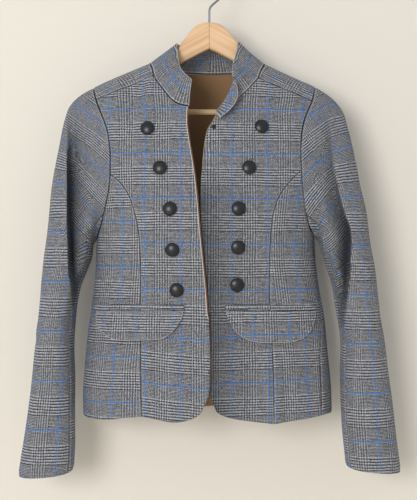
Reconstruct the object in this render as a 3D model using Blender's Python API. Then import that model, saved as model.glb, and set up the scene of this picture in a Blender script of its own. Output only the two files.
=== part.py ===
"""Cropped check blazer with a stand collar, hanging on a wooden trouser hanger.

Sizes are in millimetres and are scaled to metres when a mesh is made.  The origin is
the inner top of the hook, +Z is up, the fronts face -Y and the wearer's left is +X.
"drop" is the distance below the origin, and "girth" is the angle round the body:
0 at the centre front, 90 at the left side, 180 at the centre back.
"""
import math

import bmesh
import bpy
import numpy as np

MM = 0.001

# ---- driving dimensions -------------------------------------------------------------
CLOTH = 1.8            # wall of one layer of cloth
COLLAR_CLOTH = 2.2     # the collar is two layers
SEAM = 0.22            # each piece stops this far short of its seam line
LAID = 0.35            # gap under a piece that lies on another
ON_FACETS = 0.7        # gap under a piece that lies across a panel's facets
CREST = 18.0           # how softly the cloth bends over the shoulder
ROUNDING = 70.0        # depth over which the shoulder opens to the full body depth
SQUARE_X, SQUARE_Y = 0.86, 0.80

BUTTON_RADIUS = 10.8
SNAP_RADIUS = 3.6
CREST_SAG = 0.7        # the cloth's facets cut this much below its curve at the ridge
HOOK_RADIUS, HOOK_WIRE = 20.0, 1.7
HANGER_HALF_THICKNESS = 7.0
BAR_DROP, BAR_RADIUS, BAR_HALF = 212.0, 4.6, 157.0
STEM_FOOT = 84.0       # drop of the stem's end, in its bore in the wood

HEM_ROWS, ARM_ROWS, CREST_ROWS = 14, 9, 3
SIDE_COLUMNS, SHOULDER_COLUMNS, BACK_ARM_ROWS = 6, 5, 11
NECK_COLUMNS_RIGHT, NECK_COLUMNS_LEFT, NECK_COLUMNS_BACK = 6, 8, 8
NECK_ROWS = 6
EDGE_SPLIT = 335.0     # drop on the front edge level with the head of the princess seam
BACK_COLUMNS = 2 * SHOULDER_COLUMNS + NECK_COLUMNS_BACK


def table(columns, *rows):
    """A short table with named columns, each an array."""
    return dict(zip(columns.split(), np.array(rows, float).T))


# half widths and depths of the body at each drop
BODY = table("drop right left front back",
             (120, 216, 210, 44, 42),
             (180, 212, 206, 57, 54),
             (240, 200, 192, 71, 64),
             (310, 189, 180, 85, 70),
             (400, 179, 168, 92, 72),
             (440, 180, 168, 87, 67),
             (490, 184, 175, 77, 59),
             (530, 188.5, 182, 75, 58),
             (590, 197, 188.5, 79, 62),
             (640, 200.5, 192.5, 83, 66),
             (700, 201.5, 195.7, 87, 70))

# drop of the shoulder ridge at each distance from the centre
RIDGE = table("x right left",
              (0, 98, 98),
              (50, 115, 115),
              (93, 133.5, 137.8),
              (140, 153, 159.5),
              (170, 166, 172.5),
              (196, 179, 187),
              (220, 191, 199.5))

# the largest folds of the body: place, spread and height
BODY_FOLDS = table("girth drop spread length height",
                   (-32, 185, 5, 26, -5.0),
                   (-12, 700, 8, 70, 3.5),
                   (-29, 700, 6, 70, -3.0),
                   (-50, 700, 9, 85, 4.0),
                   (12, 700, 8, 60, -2.5),
                   (27, 690, 4, 95, 4.0),
                   (40, 700, 7, 80, -3.0),
                   (58, 700, 9, 80, 3.0),
                   (118, 690, 10, 90, 3.5),
                   (142, 700, 9, 110, -4.0),
                   (165, 690, 10, 130, 4.0),
                   (188, 700, 9, 110, -3.5),
                   (212, 690, 10, 90, 4.0),
                   (236, 700, 9, 80, -3.0),
                   (160, 330, 9, 70, 3.0),
                   (203, 330, 9, 70, 3.0))

# outlines on the body, each row an x and a drop
FRONT_EDGE_RIGHT = table("x drop",
                         (-31.4, 210.2), (-32.7, 234), (-29, 264), (-22.6, 304), (-17.7, 343),
                         (-13.7, 392), (-9, 440), (-4.2, 489), (-0.7, 538), (1.2, 587),
                         (0.7, 635), (-1.2, 655), (-5.2, 671), (-13, 682))
FRONT_EDGE_LEFT = table("x drop",
                        (11.4, 221), (6.8, 230), (1.2, 239), (-3.6, 248), (-7.2, 264.4),
                        (-9.6, 284.2), (-11.2, 304.1), (-12.9, 323.8), (-13.4, 356), (-12.4, 391),
                        (-7.8, 440), (-3, 489), (0.5, 538), (2.4, 587), (2.1, 635), (0.5, 655),
                        (-0.2, 664), (3.6, 672), (11, 680))
NECK_RIGHT = table("x drop",
                   (-31.4, 210.2), (-42, 208.5), (-53.8, 203.4), (-64.6, 192.4), (-74.2, 179.7),
                   (-81.4, 170), (-87.5, 158.4))
NECK_LEFT = table("x drop",
                  (11.4, 221), (17.5, 216.5), (25.5, 211.2), (36, 205), (44.3, 199), (50.2, 193.6),
                  (62.3, 181.3), (70.5, 171.5), (77.2, 163.8))
NECK_BACK_RISE = table("x drop",
                       (-83, 142), (-58, 143.5), (-30, 145), (0, 145.5), (28, 145), (52, 143.5),
                       (74, 142))
NECK_CREST = dict(right=-93.5, left=86.5)
SHOULDER_RIGHT = table("x drop", (-87.5, 158.4), (-132, 176.5), (-178.4, 196.2))
SHOULDER_LEFT = table("x drop", (77.2, 163.8), (119, 181), (161.5, 198.7))
ARMHOLE_RIGHT = table("x drop",
                      (-178.4, 196.2), (-168.9, 219.6), (-159.5, 244.3), (-154.7, 273.2),
                      (-153.8, 314.5))
ARMHOLE_LEFT = table("x drop",
                     (161.5, 198.7), (151.6, 220.2), (144.5, 244.6), (142, 271.4), (142.6, 308.7))
SIDE_TOP_RIGHT = table("x drop",
                       (-153.8, 314.5), (-156.2, 338.5), (-162, 364), (-170.5, 395), (-178.6, 419))
SIDE_TOP_LEFT = table("x drop",
                      (142.6, 308.7), (145, 338), (150, 371), (157.5, 397), (166.8, 414))
PRINCESS_RIGHT = table("x drop",
                       (-153.8, 314.5), (-140.8, 324.5), (-130.4, 338.7), (-120.9, 355.8),
                       (-113.8, 378.9), (-109.1, 404.9), (-106.6, 440.1), (-106.4, 514.2),
                       (-106.2, 578.6), (-105.2, 688.5))
PRINCESS_LEFT = table("x drop",
                      (142.6, 308.7), (128.9, 321.6), (116.1, 337.3), (104.3, 356), (98, 377.5),
                      (94.5, 405), (93.2, 444.7), (93.1, 514.1), (96.2, 578.5), (97, 698.5))
HEM = table("girth drop",
            (-110, 691), (-90, 692), (-70, 695.5), (-50, 695), (-28, 688.5), (26.6, 698.5),
            (45, 694), (61, 690), (90, 690), (110, 691))
HEM_FRONT_RIGHT = table("x drop",
                        (-13, 682), (-21, 688), (-33, 692.5), (-50, 695.5), (-80, 692),
                        (-105.2, 688.5))
HEM_FRONT_LEFT = table("x drop",
                       (11, 680), (17, 684), (27, 688), (42, 691.5), (65, 695), (97, 698.5))
BACK_ARM = table("x drop",
                 (1.0, 0.0), (0.955, 0.08), (0.885, 0.25), (0.85, 0.45), (0.86, 0.66),
                 (0.93, 0.86), (1.0, 1.0))
SIDE_SEAM_GIRTH = table("drop right left",
                        (419, -92, 92), (520, -88, 80), (600, -84, 66), (700, -82, 60))

# pocket outlines, on the body
WELT_RIGHT = table("x top bottom", (-180, 519.5, 526), (-106, 516, 523.5), (-39, 517, 524))
WELT_LEFT = table("x top bottom", (24, 516.5, 523.5), (93, 516.5, 524), (165, 519.5, 526.5))
FLAP_RIGHT_SIDES = table("outer outer_drop inner inner_drop",
                         (-174.5, 527, -39.6, 525), (-174, 541, -42.4, 537), (-172, 551, -48, 548))
FLAP_RIGHT_BOTTOM = table("x drop",
                          (-172, 551), (-165, 559), (-154, 567.5), (-142, 572), (-110.7, 571.5),
                          (-85, 570.3), (-70, 568.5), (-59, 561), (-48, 548))
FLAP_LEFT_SIDES = table("outer outer_drop inner inner_drop",
                        (164.6, 527.5, 25.2, 525), (163.2, 537, 27.5, 534), (160, 545, 31, 543))
FLAP_LEFT_BOTTOM = table("x drop",
                         (31, 543), (37, 554), (48.5, 565.1), (65, 572.5), (93.2, 575.2),
                         (122, 575), (141, 570), (152.5, 560), (160, 545))

BUTTONS_RIGHT = table("x drop", (-95.1, 245.3), (-75.3, 307.1), (-59.8, 370), (-56.1, 432), (-50, 493.7))
BUTTONS_LEFT = table("x drop", (80.3, 242.9), (60.6, 306.8), (44.3, 369.4), (43.5, 428.1), (42.2, 485.8))
SNAP_PLACE = (6.8, 243.5)

# collar: the bend and top of the band at stations along the neckline, from the right front
# end (0) to the shoulder seam (1), the other shoulder seam (2) and the left front end (3)
COLLAR = table("along bend_x bend_y bend_drop top_x top_y top_drop",
               (0.0, -30, -71, 190, -26.5, -67, 170),
               (0.35, -50, -66, 183, -38.6, -58, 158),
               (0.68, -67, -56, 161, -45.5, -45, 146),
               (1.0, -76, -38, 141, -49, -27, 128),
               (1.15, -71, -4, 118, -51, -4, 104),
               (1.30, -63, 34, 118, -48, 32, 99),
               (1.5, 0, 55, 118, 0, 55, 92),
               (1.70, 57, 34, 118, 43, 32, 99),
               (1.85, 64.5, -4, 119.5, 46.5, -4, 101.5),
               (2.0, 61, -38, 145, 39.5, -28, 130),
               (2.25, 50, -60, 158, 35.5, -52, 153),
               (2.36, 39, -62, 157, 36.5, -62, 163),
               (2.5, 27, -68, 168, 42.5, -76, 181),
               (2.68, 16, -75, 190, 43, -81, 201),
               (2.86, 9, -80, 210, 31, -84, 219),
               (3.0, 9.5, -78, 219, 16, -83, 231))
COLLAR_ROWS = 5

# sleeves: outer and inner x, front and back y of the horizontal sections
SLEEVE_RIGHT = table("drop outer inner front back",
                     (170, 190, 150, -20, 24),
                     (186, 212, 150, -30, 31),
                     (203, 225, 150, -38, 40),
                     (221, 230, 148, -46, 46),
                     (268, 239.5, 146, -58, 56),
                     (322, 248, 150, -66, 60),
                     (381, 255, 166, -70, 60),
                     (420, 259, 184.5, -71, 55),
                     (444, 261.5, 188, -72, 51),
                     (466, 263.5, 195.5, -72, 48),
                     (486, 265.5, 203, -72, 45),
                     (512, 267.5, 209, -72, 41),
                     (555, 271, 213.5, -71, 36),
                     (642, 280, 212.5, -68, 25),
                     (733, 292.5, 212.5, -64, 9),
                     (790, 300.5, 214.5, -61, 2))
SLEEVE_LEFT = table("drop outer inner front back",
                    (170, 181, 140, -20, 24),
                    (188, 200.5, 139, -31, 31),
                    (209, 214, 138, -42, 40),
                    (239, 222, 136, -52, 49),
                    (271, 229, 136, -58, 55),
                    (318, 237.5, 140, -65, 60),
                    (371, 248.5, 154, -69, 60),
                    (414, 254, 173.5, -71, 55),
                    (436, 257.5, 178.5, -72, 52),
                    (459, 261.5, 185.5, -72, 48),
                    (487, 264.5, 194.5, -71, 44),
                    (532, 270, 201, -70, 38),
                    (570, 275, 206.5, -69, 33),
                    (622, 282, 207.5, -67, 27),
                    (690, 290.5, 209, -64, 16),
                    (785, 301.5, 214.5, -61, 2))
# the long fold down each sleeve's front: x of its sharp edge and depth of the valley
FOLD_RIGHT = table("drop edge depth",
                   (215, 226, 0), (250, 223.5, 14), (295, 221, 22), (385, 219, 25), (452, 217, 24),
                   (512, 214, 15), (560, 214, 5), (600, 214, 0))
FOLD_LEFT = table("drop edge depth",
                  (215, 187, 0), (245, 189, 8), (330, 197, 14), (374, 208, 20), (397, 216.5, 24),
                  (441, 217, 25), (486, 216, 22), (536, 210, 12), (590, 209, 0))
CUFF_RIGHT = dict(level=781.5, outward=3.7, forward=4.0)
CUFF_LEFT = dict(level=775.0, outward=3.8, forward=3.0)
# girth of a sleeve's stations where the body's seams meet it
UNDERARM, JUNCTION, SHOULDER_TIP = 180.0, 118.0, 38.0
UNDER_FRONT, UNDER_BACK = 3, 4     # stations of the under sleeve, either way from the underarm
SLEEVE_SHARES = (0, 0.006, 0.016, 0.034, 0.06, 0.095, 0.135, 0.18, 0.23, 0.285, 0.34, 0.40,
                 0.46, 0.52, 0.59, 0.66, 0.74, 0.82, 0.91, 1.0)

# wooden hanger: top and bottom of its outline at each distance from the centre
WOOD = table("x top bottom",
             (0, 68.6, 111.3), (10, 69.6, 116), (21.4, 74.2, 122), (29, 81.5, 126),
             (36, 90, 129.7), (43, 99, 133.4), (50, 109.5, 137.2), (60, 119.5, 142.5),
             (69, 127.5, 147.5), (84, 138.5, 156), (112, 151, 170), (132, 160, 182),
             (142, 164, 197), (149, 166.8, 216), (156, 170.5, 221), (162, 176, 217),
             (165, 182, 208))


# ---- curves and surfaces ------------------------------------------------------------
def smooth(at, knots, values):
    """Smooth curve through the values at the knots, held level past the ends."""
    knots = np.asarray(knots, float)
    values = np.asarray(values, float)
    slopes = np.gradient(values, knots, axis=0)
    at = np.clip(at, knots[0], knots[-1])
    cell = np.clip(np.searchsorted(knots, at) - 1, 0, len(knots) - 2)
    step = knots[cell + 1] - knots[cell]
    share = (at - knots[cell]) / step
    if values.ndim > 1:
        share = share[..., None]
        step = step[..., None]
    return ((1 + 2 * share) * (1 - share) ** 2 * values[cell]
            + share * (1 - share) ** 2 * step * slopes[cell]
            + share ** 2 * (3 - 2 * share) * values[cell + 1]
            + share ** 2 * (share - 1) * step * slopes[cell + 1])


def ridge_drop(x):
    return np.where(x >= 0, smooth(np.abs(x), RIDGE["x"], RIDGE["left"]),
                    smooth(np.abs(x), RIDGE["x"], RIDGE["right"]))


def body_half_width(x_sign, drop):
    return np.where(x_sign >= 0, smooth(drop, BODY["drop"], BODY["left"]),
                    smooth(drop, BODY["drop"], BODY["right"]))


def fold_height(girth, drop):
    """Height of the largest folds above the plain body."""
    height = np.zeros(np.broadcast(girth, drop).shape)
    for at, down, spread, length, rise in zip(*BODY_FOLDS.values()):
        turn = (girth - at + 180) % 360 - 180
        height = height + rise * np.exp(-(turn / spread) ** 2 - ((drop - down) / length) ** 2)
    return height


def plain_body(girth, row):
    """x, y and drop of the body without folds, and how far the row is past the ridge."""
    girth, row = np.broadcast_arrays(np.asarray(girth, float), np.asarray(row, float))
    sine, cosine = np.sin(np.radians(girth)), np.cos(np.radians(girth))
    drop = row.copy()
    for _ in range(5):
        x = np.sign(sine) * body_half_width(sine, drop) * np.abs(sine) ** SQUARE_X
        ridge = ridge_drop(x)
        past = row - ridge + CREST
        below = np.where(np.abs(past) < 2 * CREST, past ** 2 / (4 * CREST), np.abs(past) - CREST)
        drop = ridge + below
    front = (cosine > 0) ^ (past < 0)
    depth = np.where(front, smooth(drop, BODY["drop"], BODY["front"]),
                     smooth(drop, BODY["drop"], BODY["back"]))
    opening = np.clip(below / ROUNDING, 0, 1)
    y = -np.sign(cosine) * np.sign(past + 1e-9) * depth * np.abs(cosine) ** SQUARE_Y
    y = y * np.sqrt(1 - (1 - opening) ** 2)
    return x, y, drop, past


def body_point(girth, row):
    """Point of the cloth's outer face; rows above the ridge run down the other side."""
    x, y, drop, past = plain_body(girth, row)
    facing = np.where(past < 0, 180 - girth, girth)
    height = fold_height(facing, drop)
    turn = np.radians(facing)
    return np.stack([x + height * np.sin(turn), y - height * np.cos(turn), -drop], -1)


def other_way(line):
    """The same points of a front line, counted over the shoulder from the back."""
    x, _, _, _ = plain_body(*line.T)
    return np.stack([180 - line[:, 0], 2 * (ridge_drop(x) - CREST) - line[:, 1]], -1)


def body_normal(girth, row):
    """Outward direction of the body."""
    turn, down = 0.6, 1.0
    across = body_point(girth + turn, row) - body_point(girth - turn, row)
    along = body_point(girth, row + down) - body_point(girth, row - down)
    normal = np.cross(along, across)
    return normal / np.linalg.norm(normal, axis=-1, keepdims=True)


def on_body(x, drop, back=False, over=False):
    """Girth and row of the point at this x and drop; over reaches the front from the back."""
    x, drop = np.broadcast_arrays(np.asarray(x, float), np.asarray(drop, float))
    share = np.clip(np.abs(x) / body_half_width(x, drop), 0, 1)
    girth = np.sign(x) * np.degrees(np.arcsin(share ** (1 / SQUARE_X)))
    below = np.maximum(drop - ridge_drop(x), 0)
    past = np.where(below < CREST, np.sqrt(4 * CREST * below), below + CREST)
    row = ridge_drop(x) - CREST + (-past if over else past)
    if back or over:
        girth = 180 - girth
    return np.stack([girth, row], -1)


def outline(points, count, bias=1.0):
    """Stations along a smooth curve through girth and row points, closer at its end."""
    points = np.asarray(points, float)
    steps = np.hypot(*(np.diff(points, axis=0) * [3.0, 1.0]).T)
    length = np.concatenate([[0], np.cumsum(steps)])
    fine = smooth(np.linspace(0, length[-1], 40 * count + 1), length, points)
    run = np.concatenate([[0], np.cumsum(np.hypot(*(np.diff(fine, axis=0) * [3.0, 1.0]).T))])
    at = run[-1] * (1 - (1 - np.linspace(0, 1, count + 1)) ** bias)
    return np.stack([np.interp(at, run, fine[:, 0]), np.interp(at, run, fine[:, 1])], -1)


def xy_outline(rows, count, **side):
    return outline(on_body(rows["x"], rows["drop"], **side), count)


def fill(left, right, top, bottom):
    """Grid of girth and row between four outlines; rows run from top to bottom."""
    rows, columns = len(left), len(top)
    down = np.linspace(0, 1, rows)[:, None, None]
    across = np.linspace(0, 1, columns)[None, :, None]
    ruled = (1 - across) * left[:, None] + across * right[:, None]
    ruled = ruled + (1 - down) * top[None] + down * bottom[None]
    corners = ((1 - across) * (1 - down) * top[0] + across * (1 - down) * top[-1]
               + (1 - across) * down * bottom[0] + across * down * bottom[-1])
    return ruled - corners


def hem_row(girth):
    turn = (np.asarray(girth, float) + 180) % 360 - 180
    back_wave = 691 + 2.5 * np.sin(np.radians(girth * 6))
    return np.where(np.abs(turn) > 110, back_wave, smooth(turn, HEM["girth"], HEM["drop"]))


def side_seam(side, start, count):
    """Side seam from the underarm point down to the hem."""
    drops = np.linspace(start[1], 700, 8)
    girths = smooth(drops, SIDE_SEAM_GIRTH["drop"], SIDE_SEAM_GIRTH[side])
    girths = girths + (start[0] - girths[0]) * np.linspace(1, 0, 8) ** 2
    last = hem_row(girths[-1])
    drops = start[1] + (drops - start[1]) * (last - start[1]) / (700 - start[1])
    return outline(np.stack([girths, drops], -1), count)


def join(*parts):
    return np.concatenate([parts[0]] + [part[1:] for part in parts[1:]])


def edge_line(rows):
    """Front edge, its stations level with those of the armhole and of the princess seam."""
    fine = xy_outline(rows, 200)
    levels = join(np.linspace(fine[0, 1], EDGE_SPLIT, ARM_ROWS + 1),
                  np.linspace(EDGE_SPLIT, fine[-1, 1], HEM_ROWS + 1))
    return np.stack([np.interp(levels, fine[:, 1], fine[:, 0]), levels], -1)


# ---- seam lines shared by the panels ------------------------------------------------
def seams(side):
    """All seam lines of one side of the body, as girth and row stations."""
    right = side == "right"
    edge = FRONT_EDGE_RIGHT if right else FRONT_EDGE_LEFT
    neck = NECK_RIGHT if right else NECK_LEFT
    shoulder = SHOULDER_RIGHT if right else SHOULDER_LEFT
    armhole = ARMHOLE_RIGHT if right else ARMHOLE_LEFT
    side_top = SIDE_TOP_RIGHT if right else SIDE_TOP_LEFT
    princess = PRINCESS_RIGHT if right else PRINCESS_LEFT
    sign = -1 if right else 1
    lines = dict(
        edge=edge_line(edge),
        neck=xy_outline(neck, NECK_COLUMNS_RIGHT if right else NECK_COLUMNS_LEFT),
        shoulder=xy_outline(shoulder, SHOULDER_COLUMNS),
        armhole=xy_outline(armhole, ARM_ROWS),
        side_top=xy_outline(side_top, SIDE_COLUMNS),
        princess=xy_outline(princess, HEM_ROWS))
    underarm = lines["side_top"][-1]
    lines["side"] = side_seam(side, underarm, HEM_ROWS)
    lines["princess"][-1, 1] = hem_row(lines["princess"][-1, 0])
    # back armhole: from the underarm up to the ridge, narrower across the shoulder blade
    crest_x = abs(shoulder["x"][-1]) + 8.0
    crest = ridge_drop(np.array(sign * crest_x))
    foot = body_point(*underarm)
    share, rise = BACK_ARM["x"], BACK_ARM["drop"]
    drops = -foot[2] + (crest - -foot[2]) * rise
    widths = np.interp(rise, [0, 1], [abs(foot[0]), crest_x]) * share
    back = on_body(sign * widths, drops, back=True)
    if right:
        back = back - [360, 0]
    back[0] = underarm
    lines["back_arm"] = outline(back, BACK_ARM_ROWS, bias=1.7)
    tip = on_body(shoulder["x"][-1], shoulder["drop"][-1], over=True)
    if right:
        tip = tip - [360, 0]
    lines["crest"] = outline([lines["back_arm"][-1], tip], CREST_ROWS)
    return lines


def cells_of(shape, missing=None):
    """Cells of a grid as four vertex numbers; the missing block of cells is left out."""
    rows, columns = shape
    cells = []
    for row in range(rows - 1):
        for column in range(columns - 1):
            if missing and row < missing[0] and missing[1] <= column < missing[2]:
                continue
            corner = row * columns + column
            cells.append((corner, corner + 1, corner + columns + 1, corner + columns))
    return cells


def open_edges(cells):
    """Directed edges that only one cell uses."""
    edges = {}
    for cell in cells:
        for a, b in zip(cell, cell[1:] + cell[:1]):
            edges[(a, b)] = cell
    return {edge: cell for edge, cell in edges.items() if edge[::-1] not in edges}


def drawn_in(grid, cells, inset):
    """Pull the open edges of a grid of points in by the inset, mitred at the corners."""
    points = grid.reshape(-1, 3).copy()
    pulls = {}
    for (a, b), cell in open_edges(cells).items():
        along = points[b] - points[a]
        along = along / np.linalg.norm(along)
        inward = points[list(cell)].mean(axis=0) - (points[a] + points[b]) / 2
        inward = inward - along * np.dot(inward, along)
        inward = inward / np.linalg.norm(inward)
        pulls.setdefault(a, []).append(inward)
        pulls.setdefault(b, []).append(inward)
    for vertex, (first, second) in pulls.items():
        mitre = (first + second) / max(1 + np.dot(first, second), 0.4)
        points[vertex] += mitre * inset
    return points.reshape(grid.shape)


# ---- meshes -------------------------------------------------------------------------
def new_object(name, points, faces, material, sharp=math.radians(50)):
    mesh = bpy.data.meshes.new(name)
    mesh.from_pydata([tuple(MM * value for value in point) for point in points], [], faces)
    working = bmesh.new()
    working.from_mesh(mesh)
    bmesh.ops.recalc_face_normals(working, faces=working.faces[:])
    working.to_mesh(mesh)
    working.free()
    mesh.shade_smooth()
    mesh.set_sharp_from_angle(angle=sharp)
    mesh.materials.append(material)
    result = bpy.data.objects.new(name, mesh)
    bpy.context.scene.collection.objects.link(result)
    return result


def wall(name, outer, inner, material, cells):
    """Closed wall between two grids of points that share their cells."""
    under = outer.shape[0] * outer.shape[1]
    used = sorted({vertex for cell in cells for vertex in cell})
    number = {vertex: place for place, vertex in enumerate(used)}
    below = len(used)
    outer, inner = outer.reshape(under, 3)[used], inner.reshape(under, 3)[used]
    faces = []
    for cell in cells:
        a, b, c, d = (number[vertex] for vertex in cell)
        for triangle in ((a, b, c), (a, c, d)):
            faces.append(triangle)
            faces.append(tuple(below + corner for corner in reversed(triangle)))
    for a, b in open_edges(cells):
        a, b = number[a], number[b]
        faces.append((b, a, below + a, below + b))
    return new_object(name, list(outer) + list(inner), faces, material)


def body_panel(name, grid, material, lift=None, missing=None):
    """Wall of cloth over a grid of girth and row, its outer face on the body's surface."""
    girth, row = grid[..., 0], grid[..., 1]
    cells = cells_of(girth.shape, missing)
    outer = drawn_in(body_point(girth, row), cells, SEAM)
    normal = body_normal(girth, row)
    if lift is not None:
        outer = outer + normal * lift[..., None]
    return wall(name, outer, outer - normal * CLOTH, material, cells)


def laid_on(name, grid, thickness, material, flare=0.0):
    """Piece that lies on a panel, standing further off towards its lower edge."""
    girth, row = grid[..., 0], grid[..., 1]
    normal = body_normal(girth, row)
    stand = ON_FACETS + flare * np.linspace(0, 1, len(grid))[:, None, None] ** 1.5
    base = body_point(girth, row) + normal * stand
    return wall(name, base + normal * thickness, base, material, cells_of(girth.shape))


def front_panel(side, lines, material):
    """Centre front: neck and shoulder above, hem below, from the edge to the princess seam."""
    outer_side = join(lines["armhole"], lines["princess"])
    top = join(lines["neck"], lines["shoulder"])
    columns = len(top) - 1
    bottom = xy_outline(HEM_FRONT_RIGHT if side == "right" else HEM_FRONT_LEFT, columns)
    bottom[-1] = lines["princess"][-1]
    grid = fill(lines["edge"], outer_side, top, bottom)
    lift = None
    if side == "right":
        near_edge = np.exp(-(np.arange(columns + 1) / 2.0) ** 2)[None, :]
        low = np.clip((grid[..., 1] - 330) / 80, 0, 1)
        lift = 2.0 * near_edge * low
    return body_panel("front_" + side, grid, material, lift)


def side_front_panel(side, lines, material):
    start, end = lines["princess"][-1], lines["side"][-1]
    girths = np.linspace(start[0], end[0], SIDE_COLUMNS + 1)
    bottom = np.stack([girths, hem_row(girths)], -1)
    grid = fill(lines["princess"], lines["side"], lines["side_top"], bottom)
    return body_panel("side_front_" + side, grid, material)


def turned(line, whole):
    return line + [whole, 0]


def back_panel(right, left, material):
    """Back, from side seam to side seam and over the shoulders to the forward seams.

    Two side patches run up past the neck to the forward seams, a middle one stops at the
    back neck, so the block of cells between the shoulders is missing from the grid.
    """
    left_side = join(left["crest"][::-1], left["back_arm"][::-1], left["side"])
    right_side = turned(join(right["crest"][::-1], right["back_arm"][::-1], right["side"]), 360)
    necks = back_neck_lines(left, right)
    rows = len(left_side)
    hem_girths = np.linspace(left_side[-1, 0], right_side[-1, 0], BACK_COLUMNS + 1)
    hem = np.stack([hem_girths, hem_row(hem_girths)], -1)
    first, last = SHOULDER_COLUMNS, BACK_COLUMNS - SHOULDER_COLUMNS
    level = (left_side[NECK_ROWS:, 1] + right_side[NECK_ROWS:, 1])[:, None]
    share = (level - level[0]) / (level[-1] - level[0])
    seams_down = [corner + (foot - corner) * share
                  for corner, foot in ((necks["middle"][0], hem[first]),
                                       (necks["middle"][-1], hem[last]))]
    patches = (fill(left_side, join(necks["left"], seams_down[0]), other_way(left["shoulder"])[::-1],
                    hem[:first + 1]),
               fill(seams_down[0], seams_down[1], necks["middle"], hem[first:last + 1]),
               fill(join(necks["right"], seams_down[1]), right_side, other_way(right["shoulder"]),
                    hem[last:]))
    grid = np.zeros((rows, BACK_COLUMNS + 1, 2))
    grid[:, :first + 1] = patches[0]
    grid[:, last:] = patches[2]
    grid[NECK_ROWS:, first:last + 1] = patches[1]
    return body_panel("back", grid, material, missing=(NECK_ROWS, first, last))


def back_neck_lines(left, right):
    """Back neckline: a side part over each shoulder, and the middle between them."""
    rise = on_body(NECK_BACK_RISE["x"][::-1], NECK_BACK_RISE["drop"][::-1], back=True)
    start = other_way(left["neck"][-1:])
    end = other_way(right["neck"][-1:])
    crest_left = on_body(NECK_CREST["left"], ridge_drop(NECK_CREST["left"]), back=True)[None]
    crest_right = on_body(NECK_CREST["right"], ridge_drop(NECK_CREST["right"]), back=True)[None]
    return dict(left=outline(np.concatenate([start, crest_left, rise[:1]]), NECK_ROWS),
                middle=outline(rise, NECK_COLUMNS_BACK),
                right=outline(np.concatenate([end, crest_right, rise[-1:]]), NECK_ROWS))


def collar_piece(right, left, material):
    """Stand collar: a band whose stations bend from the neckline to its top edge."""
    back = back_neck_lines(left, right)
    back_line = join(back["right"], back["middle"][::-1], back["left"][::-1])
    neck = [body_point(*line.T) for line in (right["neck"], back_line, left["neck"][::-1])]
    lines = join(right["neck"], turned(back_line, -360), left["neck"][::-1])
    base = np.concatenate([neck[0], neck[1][1:], neck[2][1:]])
    normal = body_normal(*lines.T)
    away = np.cross(normal, np.gradient(base, axis=0))
    away /= np.linalg.norm(away, axis=-1, keepdims=True)
    towards_neck = np.array([0, 0, -100.0]) - base
    away *= np.sign(np.sum(away * towards_neck, axis=-1, keepdims=True))
    counts = (NECK_COLUMNS_RIGHT, NECK_COLUMNS_BACK + 2 * NECK_ROWS, NECK_COLUMNS_LEFT)
    along = np.concatenate([[0]] + [part + np.arange(1, count + 1) / count
                                    for part, count in enumerate(counts)])
    bend = np.stack([smooth(along, COLLAR["along"], COLLAR["bend_" + key])
                     for key in ("x", "y", "drop")], -1) * [1, 1, -1]
    top = np.stack([smooth(along, COLLAR["along"], COLLAR["top_" + key])
                    for key in ("x", "y", "drop")], -1) * [1, 1, -1]
    rise = (bend - base) / np.linalg.norm(bend - base, axis=-1, keepdims=True)
    level = np.sum(rise * away, axis=-1, keepdims=True)
    upright = np.sqrt(1 - level ** 2)
    base = base + away * (COLLAR_CLOTH / 2 * upright + 1.5 * SEAM)
    base = base - normal * CLOTH / 2 * np.maximum(level, 0)
    share = np.linspace(0, 1, COLLAR_ROWS + 1)[:, None, None]
    middle = (1 - share) ** 2 * base + 2 * share * (1 - share) * bend + share ** 2 * top
    normal = np.cross(np.gradient(middle, axis=1), np.gradient(middle, axis=0))
    normal /= np.linalg.norm(normal, axis=-1, keepdims=True)
    half = normal * COLLAR_CLOTH / 2
    return wall("collar", middle + half, middle - half, material,
                cells_of(middle.shape[:2]))


# ---- sleeves ------------------------------------------------------------------------
def sleeve_section(side, theta, drop):
    """Point of the sleeve's plain section: 0 is outward, 90 forward, 180 towards the body."""
    rows = SLEEVE_RIGHT if side == "right" else SLEEVE_LEFT
    folds = FOLD_RIGHT if side == "right" else FOLD_LEFT
    sign = -1 if side == "right" else 1
    outer, inner, front, back = (smooth(drop, rows["drop"], rows[key])
                                 for key in ("outer", "inner", "front", "back"))
    cosine, sine = np.cos(np.radians(theta)), np.sin(np.radians(theta))
    reach = (outer - inner) / 2
    across = (outer + inner) / 2 + reach * np.sign(cosine) * np.abs(cosine) ** 0.85
    depth = np.where(sine > 0, front, back)
    middle = (front + back) / 2
    y = middle + (depth - middle) * np.abs(sine) ** 0.85
    edge = smooth(drop, folds["drop"], folds["edge"])
    valley = smooth(drop, folds["drop"], folds["depth"])
    inward = np.clip((edge - across) / np.maximum(edge - inner, 30), 0, 1)
    y = y + valley * np.where(sine > 0, np.sin(math.pi * inward ** 0.62) ** 2, 0)
    return np.stack([sign * across, y, -drop], -1)


def parted(grid):
    """Grid whose first and last columns stop short of the seams there."""
    grid = grid.copy()
    for edge, beside in ((0, 1), (-1, -2)):
        inward = grid[:, beside] - grid[:, edge]
        grid[:, edge] += SEAM * inward / np.linalg.norm(inward, axis=-1, keepdims=True)
    return grid


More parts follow.
